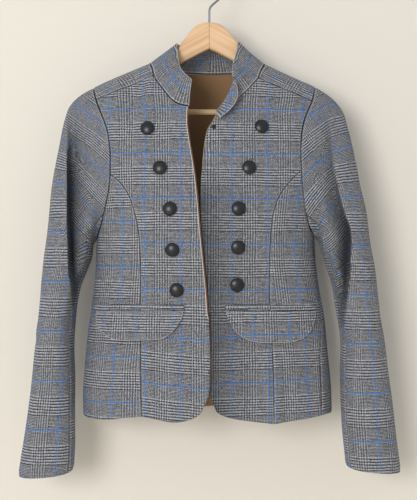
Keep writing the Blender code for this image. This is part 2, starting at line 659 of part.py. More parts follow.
def sleeve_pieces(side, lines, material):
    """Sleeve: a tube from the armhole's loop to the cuff, cut as a top and an under sleeve."""
    right = side == "right"
    loop = join(lines["side_top"][::-1], lines["armhole"][::-1],
                lines["crest"][::-1], lines["back_arm"][::-1])[:-1]
    theta = np.concatenate([np.linspace(UNDERARM, JUNCTION, SIDE_COLUMNS + 1)[:-1],
                            np.linspace(JUNCTION, SHOULDER_TIP, ARM_ROWS + 1)[:-1],
                            np.linspace(SHOULDER_TIP, 0, CREST_ROWS + 1)[:-1],
                            np.linspace(0, -UNDERARM, BACK_ARM_ROWS + 1)[:-1]])
    seam = body_point(*loop.T)
    seam_normal = body_normal(*loop.T)
    cuff = CUFF_RIGHT if right else CUFF_LEFT
    end = (cuff["level"] + cuff["outward"] * np.cos(np.radians(theta))
           + cuff["forward"] * np.sin(np.radians(theta)))
    start = -seam[:, 2]
    correction = seam - sleeve_section(side, theta, start)
    settle = 12 + 75 * ((1 + np.cos(np.radians(theta))) / 2) ** 0.6
    rings = []
    for share in SLEEVE_SHARES:
        drop = start + (end - start) * share
        fade = np.clip(1 - (drop - start) / settle, 0, 1) ** 3
        rings.append(sleeve_section(side, theta, drop) + correction * fade[:, None])
    middle = np.array(rings)
    around = np.roll(middle, -1, axis=1) - np.roll(middle, 1, axis=1)
    along = np.gradient(middle, axis=0)
    normal = np.cross(around, along)
    centre = middle.mean(axis=1, keepdims=True)
    flip = np.sign(np.sum(normal[8:] * (middle - centre)[8:]))
    normal = flip * normal / np.linalg.norm(normal, axis=-1, keepdims=True)
    away = np.cross(seam_normal, np.roll(seam, -1, axis=0) - np.roll(seam, 1, axis=0))
    away /= np.linalg.norm(away, axis=-1, keepdims=True)
    away *= np.sign(np.sum(away * (seam.mean(axis=0) - seam), axis=-1, keepdims=True))
    leave = middle[1] - middle[0]
    leave /= np.linalg.norm(leave, axis=-1, keepdims=True)
    turned_over = np.clip(1 - np.sum(leave * away, axis=-1, keepdims=True), 0, 1)
    normal[0] = seam_normal - away * turned_over
    normal[0] /= np.linalg.norm(normal[0], axis=-1, keepdims=True)
    middle[0] += away * 1.6 * SEAM
    inner = middle - normal * CLOTH
    stations = np.arange(len(theta) + 1) % len(theta)
    front_seam, back_seam = UNDER_FRONT, len(theta) - UNDER_BACK
    top_columns = stations[front_seam:back_seam + 1]
    under_columns = join(stations[back_seam:], stations[:front_seam + 1])
    for name, columns in (("top_sleeve_", top_columns), ("under_sleeve_", under_columns)):
        wall(name + side, parted(middle[:, columns]), parted(inner[:, columns]), material,
             cells_of((len(middle), len(columns))))


# ---- pockets, buttons, snap ---------------------------------------------------------
def pocket_flap(side, material):
    right = side == "right"
    sides = FLAP_RIGHT_SIDES if right else FLAP_LEFT_SIDES
    low = FLAP_RIGHT_BOTTOM if right else FLAP_LEFT_BOTTOM
    first, last = ("outer", "inner") if right else ("inner", "outer")
    rows, columns = 4, 12
    left_line = outline(on_body(sides[first], sides[first + "_drop"]), rows)
    right_line = outline(on_body(sides[last], sides[last + "_drop"]), rows)
    bottom = xy_outline(low, columns)
    top = outline([left_line[0], right_line[0]], columns)
    grid = fill(left_line, right_line, top, bottom)
    return laid_on("flap_" + side, grid, 2.2, material, flare=2.2)


def pocket_welt(side, material):
    rows = WELT_RIGHT if side == "right" else WELT_LEFT
    columns = 12
    top = outline(on_body(rows["x"], rows["top"]), columns)
    bottom = outline(on_body(rows["x"], rows["bottom"]), columns)
    share = np.linspace(0, 1, 3)[:, None, None]
    return laid_on("welt_" + side, top * (1 - share) + bottom * share, 2.0, material)


def turned_piece(name, profile, segments, place, normal, material):
    """Turned solid from a profile of radius and height, standing along the normal."""
    rings = len(profile)
    points = []
    for radius, height in profile:
        for step in range(segments):
            angle = 2 * math.pi * step / segments
            points.append((radius * math.cos(angle), radius * math.sin(angle), height))
    points = np.array(points)
    side = np.cross([0, 0, 1], normal)
    side /= np.linalg.norm(side)
    axes = np.stack([side, np.cross(normal, side), normal])
    points = points @ axes + place
    faces = [tuple(range(segments)), tuple((rings - 1) * segments + k for k in range(segments))]
    for ring in range(rings - 1):
        for step in range(segments):
            a, b = ring * segments + step, ring * segments + (step + 1) % segments
            faces.append((a, b, b + segments, a + segments))
    return new_object(name, points, faces, material)


def stand_on_body(x, drop):
    place = on_body(x, drop)
    normal = body_normal(*place)
    return body_point(*place) + normal * ON_FACETS, normal


def button_piece(name, x, drop, material):
    radius = BUTTON_RADIUS
    profile = ((3.0, 0), (3.0, 1.6), (radius - 1.4, 1.9), (radius, 3.4), (radius - 1.2, 5.2),
               (radius * 0.68, 6.9), (radius * 0.3, 7.7))
    place, normal = stand_on_body(x, drop)
    return turned_piece(name, profile, 16, place, normal, material)


def snap_piece(material):
    profile = ((SNAP_RADIUS, 0), (SNAP_RADIUS, 0.7), (1.5, 0.9), (1.2, 2.0))
    place, normal = stand_on_body(*SNAP_PLACE)
    return turned_piece("neck_snap", profile, 12, place, normal, material)


# ---- hanger -------------------------------------------------------------------------
def hanger_top(x):
    """Top of the wood: its own outline, and under the cloth where the shoulders lie on it."""
    own = smooth(abs(x), WOOD["x"], WOOD["top"])
    if abs(x) < 80:
        return own
    cloth = max(ridge_drop(np.array(abs(x))), ridge_drop(np.array(-abs(x))))
    return max(own, cloth + CLOTH + LAID + CREST_SAG)


def hanger_wood(material):
    """Arms and head in one flat-sided solid with rounded edges, bored for hook and bar."""
    stations = np.concatenate([-WOOD["x"][:0:-1], WOOD["x"]])
    half = HANGER_HALF_THICKNESS
    section = ((-1, 0.55), (-0.55, 1), (0.55, 1), (1, 0.55), (1, -0.55), (0.55, -1),
               (-0.55, -1), (-1, -0.55))
    points = []
    for x in stations:
        top = hanger_top(x)
        bottom = smooth(abs(x), WOOD["x"], WOOD["bottom"])
        middle, reach = (top + bottom) / 2, (bottom - top) / 2
        edge = min(4.5, reach * 0.6)
        for across, up in section:
            level = math.copysign(reach - (edge if abs(up) < 1 else 0), up)
            width = half if abs(across) == 1 else half - 3.2
            points.append((x, math.copysign(width, across), -middle + level))
    count = len(section)
    faces = [tuple(range(count)), tuple(len(points) - count + k for k in range(count))]
    for station in range(len(stations) - 1):
        for step in range(count):
            a, b = station * count + step, station * count + (step + 1) % count
            faces.append((a, b, b + count, a + count))
    wood = new_object("hanger_wood", points, faces, material)
    bores = [("hook_bore", (0, 0, -(STEM_FOOT + LAID) + 15), 30, HOOK_WIRE + LAID, "Z")]
    for sign in (-1, 1):
        middle = sign * (BAR_HALF + LAID - 10)
        bores.append(("bar_bore", (middle, 0, -BAR_DROP), 20, BAR_RADIUS + LAID, "X"))
    for name, place, length, radius, axis in bores:
        cutter = rod(name, place, length, radius, axis, material, 16)
        cutter.hide_render = True
        cutter.display_type = "WIRE"
        cut = wood.modifiers.new(name, "BOOLEAN")
        cut.object = cutter
        cut.solver = "EXACT"
    return wood


def rod(name, place, length, radius, axis, material, segments):
    """Round rod along X or Z, centred on a place."""
    points = []
    for end in (-0.5, 0.5):
        for step in range(segments):
            angle = 2 * math.pi * (step + 0.5) / segments
            first, second = radius * math.cos(angle), radius * math.sin(angle)
            if axis == "X":
                points.append((place[0] + end * length, place[1] + first, place[2] + second))
            else:
                points.append((place[0] + first, place[1] + second, place[2] + end * length))
    faces = [tuple(range(segments)), tuple(segments + k for k in range(segments))]
    for step in range(segments):
        nearby = (step + 1) % segments
        faces.append((step, nearby, segments + nearby, segments + step))
    return new_object(name, points, faces, material)


def hanger_hook(material):
    """Bent wire: a stem up out of the wood, a swan neck, and the hook's arc."""
    centre = -(HOOK_RADIUS - HOOK_WIRE)
    stem_head = -51.7
    route = [(0, level) for level in np.linspace(-STEM_FOOT, stem_head, 5)]
    joint = np.array([HOOK_RADIUS * math.sin(math.radians(45)),
                      centre - HOOK_RADIUS * math.cos(math.radians(45))])
    start = np.array([0, stem_head])
    reach = 0.42 * np.linalg.norm(joint - start)
    leave = start + [0, reach]
    arrive = joint - np.array([1, 1]) / math.sqrt(2) * reach
    for share in np.linspace(0, 1, 7)[1:-1]:
        rest = 1 - share
        route.append(tuple(rest ** 3 * start + 3 * rest ** 2 * share * leave
                           + 3 * rest * share ** 2 * arrive + share ** 3 * joint))
    for angle in np.linspace(-45, 190, 25):
        turn = math.radians(angle)
        route.append((HOOK_RADIUS * math.cos(turn), centre + HOOK_RADIUS * math.sin(turn)))
    curve = bpy.data.curves.new("hanger_hook", "CURVE")
    curve.dimensions = "3D"
    curve.bevel_depth = HOOK_WIRE * MM
    curve.bevel_resolution = 2
    curve.use_fill_caps = True
    curve.resolution_u = 1
    curve.render_resolution_u = 0
    spline = curve.splines.new("POLY")
    spline.points.add(len(route) - 1)
    for point, (x, z) in zip(spline.points, route):
        point.co = (x * MM, 0, z * MM, 1)
    curve.materials.append(material)
    hook = bpy.data.objects.new("hanger_hook", curve)
    bpy.context.scene.collection.objects.link(hook)
    return hook


# ---- materials and assembly ---------------------------------------------------------
def finish(name, colour, roughness, metallic=0.0):
    material = bpy.data.materials.new(name)
    material.use_nodes = True
    shader = material.node_tree.nodes["Principled BSDF"]
    shader.inputs["Base Color"].default_value = (*colour, 1)
    shader.inputs["Roughness"].default_value = roughness
    shader.inputs["Metallic"].default_value = metallic
    return material


def main():
    for item in list(bpy.data.objects):
        bpy.data.objects.remove(item)
    check = finish("check_cloth", (0.17, 0.18, 0.20), 0.9)
    buttons = finish("button_black", (0.02, 0.02, 0.022), 0.35)
    wood = finish("beech", (0.70, 0.42, 0.20), 0.45)
    wire = finish("hook_wire", (0.55, 0.55, 0.56), 0.3, 1.0)
    right, left = seams("right"), seams("left")
    for side, lines in (("right", right), ("left", left)):
        front_panel(side, lines, check)
        side_front_panel(side, lines, check)
        sleeve_pieces(side, lines, check)
        pocket_flap(side, check)
        pocket_welt(side, check)
    back_panel(right, left, check)
    collar_piece(right, left, check)
    for side, rows in (("right", BUTTONS_RIGHT), ("left", BUTTONS_LEFT)):
        for number, (x, drop) in enumerate(zip(rows["x"], rows["drop"]), 1):
            button_piece(f"button_{side}_{number}", x, drop, buttons)
    snap_piece(buttons)
    hanger_wood(wood)
    rod("hanger_bar", (0, 0, -BAR_DROP), 2 * BAR_HALF, BAR_RADIUS, "X", wood, 14)
    hanger_hook(wire)


main()
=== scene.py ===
"""Looks of the check blazer and its hanger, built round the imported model.

Tables and surface functions are in millimetres, meshes and cloth coordinates in metres.
"drop" is the distance below the origin, "girth" the angle round the body: 0 at the centre
front, 90 at the wearer's left side, 180 at the centre back.
"""
import math

import bmesh
import bpy
import numpy as np
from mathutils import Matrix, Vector


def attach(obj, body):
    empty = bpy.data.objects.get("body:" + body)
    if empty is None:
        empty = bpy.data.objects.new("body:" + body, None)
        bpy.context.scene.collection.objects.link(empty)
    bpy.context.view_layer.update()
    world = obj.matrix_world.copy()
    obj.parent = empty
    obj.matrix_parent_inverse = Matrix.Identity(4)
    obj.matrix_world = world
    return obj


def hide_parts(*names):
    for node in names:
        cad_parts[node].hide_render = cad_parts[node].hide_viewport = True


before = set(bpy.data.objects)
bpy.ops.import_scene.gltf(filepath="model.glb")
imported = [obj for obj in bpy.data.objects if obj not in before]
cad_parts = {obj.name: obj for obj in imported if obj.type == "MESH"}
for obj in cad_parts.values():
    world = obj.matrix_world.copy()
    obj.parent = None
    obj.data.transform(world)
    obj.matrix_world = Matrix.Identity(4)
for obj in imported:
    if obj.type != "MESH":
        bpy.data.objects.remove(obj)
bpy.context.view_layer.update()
MM = 0.001
SIDES = ("right", "left")
SIGN = dict(right=-1, left=1)
WHOLE_TURN = dict(right=360, left=0)   # how much lower each side counts the back's girths

# ---- driving dimensions ----
CLOTH = 1.8            # wall of one layer of cloth
COLLAR_CLOTH = 2.2     # the collar is two layers
SEAM = 0.22            # each piece stops this far short of its seam line
ON_FACETS = 0.7        # gap under a piece that lies on a panel
WALL = 81.0            # how far behind the origin the wall stands
CREST = 18.0           # how softly the cloth bends over the shoulder
ROUNDING = 70.0        # depth over which the shoulder opens to the full body depth
SQUARE_X, SQUARE_Y = 0.86, 0.80
BUTTON_RADIUS = 10.8

UNDER_CLOTH = 1.6      # the wood's top lies this far under the shoulders' cloth
HOOK_RADIUS, HOOK_WIRE = 20.0, 1.7
STEM_HEAD, STEM_SHOWN = -51.7, -68.4
SWAN = np.array([1, -1])    # where the wire's neck joins the hook's arc, from its centre
HANGER_HALF_THICKNESS = 7.0
BAR_DROP, BAR_RADIUS, BAR_SHOWN = 212.0, 4.6, 148.0

HEM_ROWS, ARM_ROWS, CREST_ROWS = 14, 9, 3
SIDE_COLUMNS, SHOULDER_COLUMNS, BACK_ARM_ROWS = 6, 5, 11
NECK_COLUMNS = dict(right=6, left=8, back=8)
NECK_ROWS = 6
EDGE_SPLIT = 335.0     # drop on the front edge level with the head of the princess seam
BACK_COLUMNS = 2 * SHOULDER_COLUMNS + NECK_COLUMNS["back"]
FINE = 5               # steps of a shell between two stations of a seam line
ROLL_DEPTH, ROLL_REACH = 1.3, 3.4    # how the face rolls down at a seam
RAW_UNTIL = dict(right=530.0, left=300.0)   # how far down the raw edges show their facing
NECK_SOFT = 0.03       # the collar's seam shows less than the others: the painted shade beside it is narrower
FOLD_LAP = 3.0         # how far the sleeve's long fold laps over its own valley
FOLD_SHADE = 13.0      # how quickly the painted shade inside that fold fades towards the body
FOLD_DEPTH = 24.0      # depth at which that fold is at its fullest
FOLD_WALL = 0.12       # share of the sleeve's inner part that the fold's steep side takes

EDGE_STEPS = (-0.55, -0.22, 0.22, 0.55)    # extra lines beside an edge, in steps of the grid
SLEEVE_HIDDEN = 0.86   # share of the sleeve whose reverse can't be seen from the cuff
FLAP_CLOTH, WELT_CLOTH, FLAP_FLARE = 2.2, 2.0, 3.6
FLAP_ROWS, POCKET_COLUMNS, COLLAR_ROWS = 24, 72, 20

# check of the cloth: its repeat across and down, in millimetres and in threads
REPEAT_ACROSS, REPEAT_DOWN = 56.4, 69.9
THREADS_ACROSS, THREADS_DOWN = 112, 136
BOLD_ACROSS, BOLD_DOWN = 44, 56
BLUE = 3.5             # threads of each blue line
PALE_WARP, PALE_WEFT, GREY_YARN = (0.56, 0.575, 0.61), (0.62, 0.64, 0.69), (0.52, 0.53, 0.565)
DARK_YARN, BLUE_YARN = (0.002, 0.003, 0.006), (0.045, 0.185, 0.50)
SLUB, CLOUD = (0.035, 0.037, 0.045), (0.045, 0.048, 0.06)
DARK_FLECK, PALE_FLECK = (0.02, 0.022, 0.03), (0.46, 0.47, 0.50)
# painted highlight beside the seams, painted shade in the seams' grooves, and painted shade in folds
# and beside an overlapping front edge
PAINTED_RIDGE_HIGHLIGHT, PAINTED_SEAM_SHADE, PAINTED_SHADE_TONE = (0.42, 0.43, 0.46), (0.004, 0.004, 0.006), (0.004, 0.005, 0.008)
# lines along the cut edges: start and end in centimetres, strength and colour
RAW_EDGE = ((-1.0, 0.04, 0.9, (0.42, 0.28, 0.17)), (0.04, 0.18, 0.95, (0.085, 0.026, 0.010)),
            (0.18, 0.29, 0.8, (0.66, 0.62, 0.58)))
THIN_EDGE = ((-1.0, 0.12, 0.85, (0.40, 0.31, 0.24)), (0.12, 0.20, 0.7, (0.07, 0.04, 0.03)))
BOUND_EDGE = ((-1.0, 0.09, 0.6, (0.50, 0.47, 0.42)),)

# the stage and the view of it, in metres; the sensor is in millimetres
STAGE_TONE, FLOOR, LIGHTS_AIM = (0.755, 0.72, 0.65), -1.1, (0, 0, -0.45)
SENSOR, CAMERA_AWAY, HALF_VIEW = 24.0, 1.8, 0.4


def table(columns, *rows):
    """A short table with named columns, each an array."""
    return dict(zip(columns.split(), np.array(rows, float).T))


# half widths and depths of the body at each drop
BODY = table(
    "drop right left front back", (120, 216, 210, 44, 42), (180, 212, 206, 57, 54),
    (240, 200, 192, 71, 64), (310, 189, 180, 85, 70), (400, 179, 168, 92, 72), (440, 180, 168, 87, 67),
    (490, 184, 175, 77, 59), (530, 188.5, 182, 75, 58), (590, 197, 188.5, 79, 62),
    (640, 200.5, 192.5, 83, 66), (700, 201.5, 195.7, 87, 70))

# drop of the shoulder ridge at each distance from the centre
RIDGE = table(
    "x right left", (0, 98, 98), (50, 115, 115), (93, 133.5, 137.8), (140, 153, 159.5),
    (170, 166, 172.5), (196, 179, 187), (220, 191, 199.5))

# the largest folds of the body: place, spread and height
BODY_FOLDS = table(
    "girth drop spread length height", (-32, 185, 5, 26, -5.0), (-12, 700, 8, 70, 3.5),
    (-29, 700, 6, 70, -3.0), (-50, 700, 9, 85, 4.0), (12, 700, 8, 60, -2.5), (27, 690, 4, 95, 4.0),
    (40, 700, 7, 80, -3.0), (58, 700, 9, 80, 3.0), (118, 690, 10, 90, 3.5), (142, 700, 9, 110, -4.0),
    (165, 690, 10, 130, 4.0), (188, 700, 9, 110, -3.5), (212, 690, 10, 90, 4.0),
    (236, 700, 9, 80, -3.0), (160, 330, 9, 70, 3.0), (203, 330, 9, 70, 3.0))

# outlines on the body, each row an x and a drop
FRONT_EDGE = dict(
    right=table(
        "x drop", (-31.4, 210.2), (-32.7, 234), (-29, 264), (-22.6, 304), (-17.7, 343), (-13.7, 392),
        (-9, 440), (-4.2, 489), (-0.7, 538), (1.2, 587), (0.7, 635), (-1.2, 655), (-5.2, 671),
        (-13, 682)),
    left=table(
        "x drop", (11.4, 221), (6.8, 230), (1.2, 239), (-3.6, 248), (-7.2, 264.4), (-9.6, 284.2),
        (-11.2, 304.1), (-12.9, 323.8), (-13.4, 356), (-12.4, 391), (-7.8, 440), (-3, 489), (0.5, 538),
        (2.4, 587), (2.1, 635), (0.5, 655), (-0.2, 664), (3.6, 672), (11, 680)))
NECK = dict(
    right=table(
        "x drop", (-31.4, 210.2), (-42, 208.5), (-53.8, 203.4), (-64.6, 192.4), (-74.2, 179.7),
        (-81.4, 170), (-87.5, 158.4)),
    left=table(
        "x drop", (11.4, 221), (17.5, 216.5), (25.5, 211.2), (36, 205), (44.3, 199), (50.2, 193.6),
        (62.3, 181.3), (70.5, 171.5), (77.2, 163.8)))
NECK_BACK_RISE = table(
    "x drop", (-83, 142), (-58, 143.5), (-30, 145), (0, 145.5), (28, 145), (52, 143.5), (74, 142))
NECK_CREST = dict(right=-93.5, left=86.5)
SHOULDER = dict(
    right=table("x drop", (-87.5, 158.4), (-132, 176.5), (-178.4, 196.2)),
    left=table("x drop", (77.2, 163.8), (119, 181), (161.5, 198.7)))
ARMHOLE = dict(
    right=table(
        "x drop", (-178.4, 196.2), (-168.9, 219.6), (-159.5, 244.3), (-154.7, 273.2), (-153.8, 314.5)),
    left=table("x drop", (161.5, 198.7), (151.6, 220.2), (144.5, 244.6), (142, 271.4), (142.6, 308.7)))
SIDE_TOP = dict(
    right=table("x drop", (-153.8, 314.5), (-156.2, 338.5), (-162, 364), (-170.5, 395), (-178.6, 419)),
    left=table("x drop", (142.6, 308.7), (145, 338), (150, 371), (157.5, 397), (166.8, 414)))
PRINCESS = dict(
    right=table(
        "x drop", (-153.8, 314.5), (-140.8, 324.5), (-130.4, 338.7), (-120.9, 355.8), (-113.8, 378.9),
        (-109.1, 404.9), (-106.6, 440.1), (-106.4, 514.2), (-106.2, 578.6), (-105.2, 688.5)),
    left=table(
        "x drop", (142.6, 308.7), (128.9, 321.6), (116.1, 337.3), (104.3, 356), (98, 377.5),
        (94.5, 405), (93.2, 444.7), (93.1, 514.1), (96.2, 578.5), (97, 698.5)))
HEM = table(
    "girth drop", (-110, 691), (-90, 692), (-70, 695.5), (-50, 695), (-28, 688.5), (26.6, 698.5),
    (45, 694), (61, 690), (90, 690), (110, 691))
HEM_FRONT = dict(
    right=table(
        "x drop", (-13, 682), (-21, 688), (-33, 692.5), (-50, 695.5), (-80, 692), (-105.2, 688.5)),
    left=table("x drop", (11, 680), (17, 684), (27, 688), (42, 691.5), (65, 695), (97, 698.5)))
BACK_ARM = table(
    "x drop", (1.0, 0.0), (0.955, 0.08), (0.885, 0.25), (0.85, 0.45), (0.86, 0.66), (0.93, 0.86),
    (1.0, 1.0))
SIDE_SEAM_GIRTH = table(
    "drop right left", (419, -92, 92), (520, -88, 80), (600, -84, 66), (700, -82, 60))

# pocket outlines, on the body
WELT = dict(
    right=table("x top bottom", (-180, 519.5, 526), (-106, 516, 523.5), (-39, 517, 524)),
    left=table("x top bottom", (24, 516.5, 523.5), (93, 516.5, 524), (165, 519.5, 526.5)))
FLAP_SIDES = dict(
    right=table(
        "outer outer_drop inner inner_drop", (-174.5, 527, -39.6, 525), (-174, 541, -42.4, 537),
        (-172, 551, -48, 548)),
    left=table(
        "outer outer_drop inner inner_drop", (164.6, 527.5, 25.2, 525), (163.2, 537, 27.5, 534),
        (160, 545, 31, 543)))
FLAP_BOTTOM = dict(
    right=table(
        "x drop", (-172, 551), (-165, 559), (-154, 567.5), (-142, 572), (-110.7, 571.5), (-85, 570.3),
        (-70, 568.5), (-59, 561), (-48, 548)),
    left=table(
        "x drop", (31, 543), (37, 554), (48.5, 565.1), (65, 572.5), (93.2, 575.2), (122, 575),
        (141, 570), (152.5, 560), (160, 545)))

BUTTONS = dict(
    right=table("x drop", (-95.1, 245.3), (-75.3, 307.1), (-59.8, 370), (-56.1, 432), (-50, 493.7)),
    left=table("x drop", (80.3, 242.9), (60.6, 306.8), (44.3, 369.4), (43.5, 428.1), (42.2, 485.8)))
SNAP_PLACE = (6.8, 243.5)
SNAP_PROFILE = ((3.6, 0), (3.6, 0.7), (1.5, 0.9), (1.2, 2.0))

# collar: the bend and top of the band at stations along the neckline, from the right front
# end (0) to the shoulder seam (1), the other shoulder seam (2) and the left front end (3)
COLLAR = table(
    "along bend_x bend_y bend_drop top_x top_y top_drop", (0.0, -30, -71, 190, -26.5, -67, 170),
    (0.35, -50, -66, 183, -38.6, -58, 158), (0.68, -67, -56, 161, -45.5, -45, 146),
    (1.0, -76, -38, 141, -49, -27, 128), (1.15, -71, -4, 118, -51, -4, 104),
    (1.30, -63, 34, 118, -48, 32, 99), (1.5, 0, 55, 118, 0, 55, 92), (1.70, 57, 34, 118, 43, 32, 99),
    (1.85, 64.5, -4, 119.5, 46.5, -4, 101.5), (2.0, 61, -38, 145, 39.5, -28, 130),
    (2.25, 50, -60, 158, 35.5, -52, 153), (2.36, 39, -62, 157, 36.5, -62, 163),
    (2.5, 27, -68, 168, 42.5, -76, 181), (2.68, 16, -75, 190, 43, -81, 201),
    (2.86, 9, -80, 210, 31, -84, 219), (3.0, 9.5, -78, 219, 16, -83, 231))

# sleeves: outer and inner x, front and back y of the horizontal sections
SLEEVE = dict(
    right=table(
        "drop outer inner front back", (170, 190, 150, -20, 24), (186, 212, 150, -30, 31),
        (203, 225, 150, -38, 40), (221, 230, 148, -46, 46), (268, 239.5, 146, -58, 56),
        (322, 248, 150, -66, 60), (381, 255, 166, -70, 60), (420, 259, 184.5, -71, 55),
        (444, 261.5, 188, -72, 51), (466, 263.5, 195.5, -72, 48), (486, 265.5, 203, -72, 45),
        (512, 267.5, 209, -72, 41), (555, 271, 213.5, -71, 36), (642, 280, 212.5, -68, 25),
        (733, 292.5, 212.5, -64, 9), (790, 300.5, 214.5, -61, 2)),
    left=table(
        "drop outer inner front back", (170, 181, 140, -20, 24), (188, 200.5, 139, -31, 31),
        (209, 214, 138, -42, 40), (239, 222, 136, -52, 49), (271, 229, 136, -58, 55),
        (318, 237.5, 140, -65, 60), (371, 248.5, 154, -69, 60), (414, 254, 173.5, -71, 55),
        (436, 257.5, 178.5, -72, 52), (459, 261.5, 185.5, -72, 48), (487, 264.5, 194.5, -71, 44),
        (532, 270, 201, -70, 38), (570, 275, 206.5, -69, 33), (622, 282, 207.5, -67, 27),
        (690, 290.5, 209, -64, 16), (785, 301.5, 214.5, -61, 2)))
# the long fold down each sleeve's front: x of its sharp edge and depth of the valley
FOLD = dict(
    right=table(
        "drop edge depth", (215, 226, 0), (250, 223.5, 14), (295, 221, 22), (385, 219, 25),
        (452, 217, 24), (512, 214, 15), (560, 214, 5), (600, 214, 0)),
    left=table(
        "drop edge depth", (215, 187, 0), (245, 189, 8), (330, 197, 14), (374, 208, 20),
        (397, 216.5, 24), (441, 217, 25), (486, 216, 22), (536, 210, 12), (590, 209, 0)))
CUFF = dict(right=dict(level=781.5, outward=3.7, forward=4.0),
            left=dict(level=775.0, outward=3.8, forward=3.0))
# girth of a sleeve's stations where the body's seams meet it
UNDERARM, JUNCTION, SHOULDER_TIP = 180.0, 118.0, 38.0
UNDER_FRONT, UNDER_BACK = 3, 4     # stations of the under sleeve, either way from the underarm
SLEEVE_SHARES = (0, 0.006, 0.016, 0.034, 0.06, 0.095, 0.135, 0.18, 0.23, 0.285, 0.34, 0.40,
                 0.46, 0.52, 0.59, 0.66, 0.74, 0.82, 0.91, 1.0)

# wooden hanger: top and bottom of its outline at each distance from the centre
WOOD = table(
    "x top bottom", (0, 68.6, 111.3), (10, 69.6, 116), (21.4, 74.2, 122), (29, 81.5, 126),
    (36, 90, 129.7), (43, 99, 133.4), (50, 109.5, 137.2), (60, 119.5, 142.5), (69, 127.5, 147.5),
    (84, 138.5, 156), (112, 151, 170), (132, 160, 182), (142, 164, 197), (149, 166.8, 216),
    (156, 170.5, 221), (162, 176, 217), (165, 182, 208))


# ---- curves and surfaces ----
def smooth(at, knots, values):
    """Smooth curve through the values at the knots, held level past the ends."""
    knots = np.asarray(knots, float)
    values = np.asarray(values, float)
    slopes = np.gradient(values, knots, axis=0)
    at = np.clip(at, knots[0], knots[-1])
    cell = np.clip(np.searchsorted(knots, at) - 1, 0, len(knots) - 2)
    step = knots[cell + 1] - knots[cell]
    share = (at - knots[cell]) / step
    if values.ndim > 1:
        share = share[..., None]
        step = step[..., None]
    return ((1 + 2 * share) * (1 - share) ** 2 * values[cell]
            + share * (1 - share) ** 2 * step * slopes[cell]
            + share ** 2 * (3 - 2 * share) * values[cell + 1]
            + share ** 2 * (share - 1) * step * slopes[cell + 1])


def unit(vectors):
    return vectors / np.linalg.norm(vectors, axis=-1, keepdims=True)


def eased(share):
    """Smooth step from 0 to 1."""
    share = np.clip(share, 0, 1)
    return share ** 2 * (3 - 2 * share)


def read(rows, key, at, along="drop"):
    """Value of a table's column at places between its rows."""
    return smooth(at, rows[along], rows[key])


def ridge_drop(x):
    sides = (read(RIDGE, side, np.abs(x), "x") for side in ("left", "right"))
    return np.where(x >= 0, *sides)


def body_half_width(x_sign, drop):
    return np.where(x_sign >= 0, read(BODY, "left", drop), read(BODY, "right", drop))


def fold_height(girth, drop):
    """Height of the largest folds above the plain body."""
    height = np.zeros(np.broadcast(girth, drop).shape)
    for at, down, spread, length, rise in zip(*BODY_FOLDS.values()):
        turn = (girth - at + 180) % 360 - 180
        height = height + rise * np.exp(-(turn / spread) ** 2 - ((drop - down) / length) ** 2)
    return height


def plain_body(girth, row):
    """x, y and drop of the body without folds, and how far the row is past the ridge."""
    girth, row = np.broadcast_arrays(np.asarray(girth, float), np.asarray(row, float))
    sine, cosine = np.sin(np.radians(girth)), np.cos(np.radians(girth))
    drop = row.copy()
    for _ in range(5):
        x = np.sign(sine) * body_half_width(sine, drop) * np.abs(sine) ** SQUARE_X
        ridge = ridge_drop(x)
        past = row - ridge + CREST
        below = np.where(np.abs(past) < 2 * CREST, past ** 2 / (4 * CREST), np.abs(past) - CREST)
        drop = ridge + below
    front = (cosine > 0) ^ (past < 0)
    depth = np.where(front, read(BODY, "front", drop), read(BODY, "back", drop))
    depth = depth * np.sqrt(1 - (1 - np.clip(below / ROUNDING, 0, 1)) ** 2)
    y = -np.sign(cosine) * np.sign(past + 1e-9) * depth * np.abs(cosine) ** SQUARE_Y
    return x, y, drop, past


def body_point(girth, row):
    """Point of the cloth's outer face; rows above the ridge run down the other side."""
    x, y, drop, past = plain_body(girth, row)
    facing = np.where(past < 0, 180 - girth, girth)
    height = fold_height(facing, drop)
    turn = np.radians(facing)
    return np.stack([x + height * np.sin(turn), y - height * np.cos(turn), -drop], -1)


def other_way(line):
    """The same points of a front line, counted over the shoulder from the back."""
    x, _, _, _ = plain_body(*line.T)
    return np.stack([180 - line[:, 0], 2 * (ridge_drop(x) - CREST) - line[:, 1]], -1)


def body_normal(girth, row):
    """Outward direction of the body."""
    turn, down = 0.6, 1.0
    across = body_point(girth + turn, row) - body_point(girth - turn, row)
    along = body_point(girth, row + down) - body_point(girth, row - down)
    return unit(np.cross(along, across))


def on_body(x, drop, back=False, over=False):
    """Girth and row of the point at this x and drop; over reaches the front from the back."""
    x, drop = np.broadcast_arrays(np.asarray(x, float), np.asarray(drop, float))
    share = np.clip(np.abs(x) / body_half_width(x, drop), 0, 1)
    girth = np.sign(x) * np.degrees(np.arcsin(share ** (1 / SQUARE_X)))
    below = np.maximum(drop - ridge_drop(x), 0)
    past = np.where(below < CREST, np.sqrt(4 * CREST * below), below + CREST)
    row = ridge_drop(x) - CREST + (-past if over else past)
    if back or over:
        girth = 180 - girth
    return np.stack([girth, row], -1)


def outline(points, count, bias=1.0):
    """Stations along a smooth curve through girth and row points, closer at its end."""
    points = np.asarray(points, float)
    steps = np.hypot(*(np.diff(points, axis=0) * [3.0, 1.0]).T)
    length = np.concatenate([[0], np.cumsum(steps)])
    fine = smooth(np.linspace(0, length[-1], 40 * count + 1), length, points)
    run = np.concatenate([[0], np.cumsum(np.hypot(*(np.diff(fine, axis=0) * [3.0, 1.0]).T))])
    at = run[-1] * (1 - (1 - np.linspace(0, 1, count + 1)) ** bias)
    return np.stack([np.interp(at, run, fine[:, 0]), np.interp(at, run, fine[:, 1])], -1)


def xy_outline(rows, count, **side):
    return outline(on_body(rows["x"], rows["drop"], **side), count)


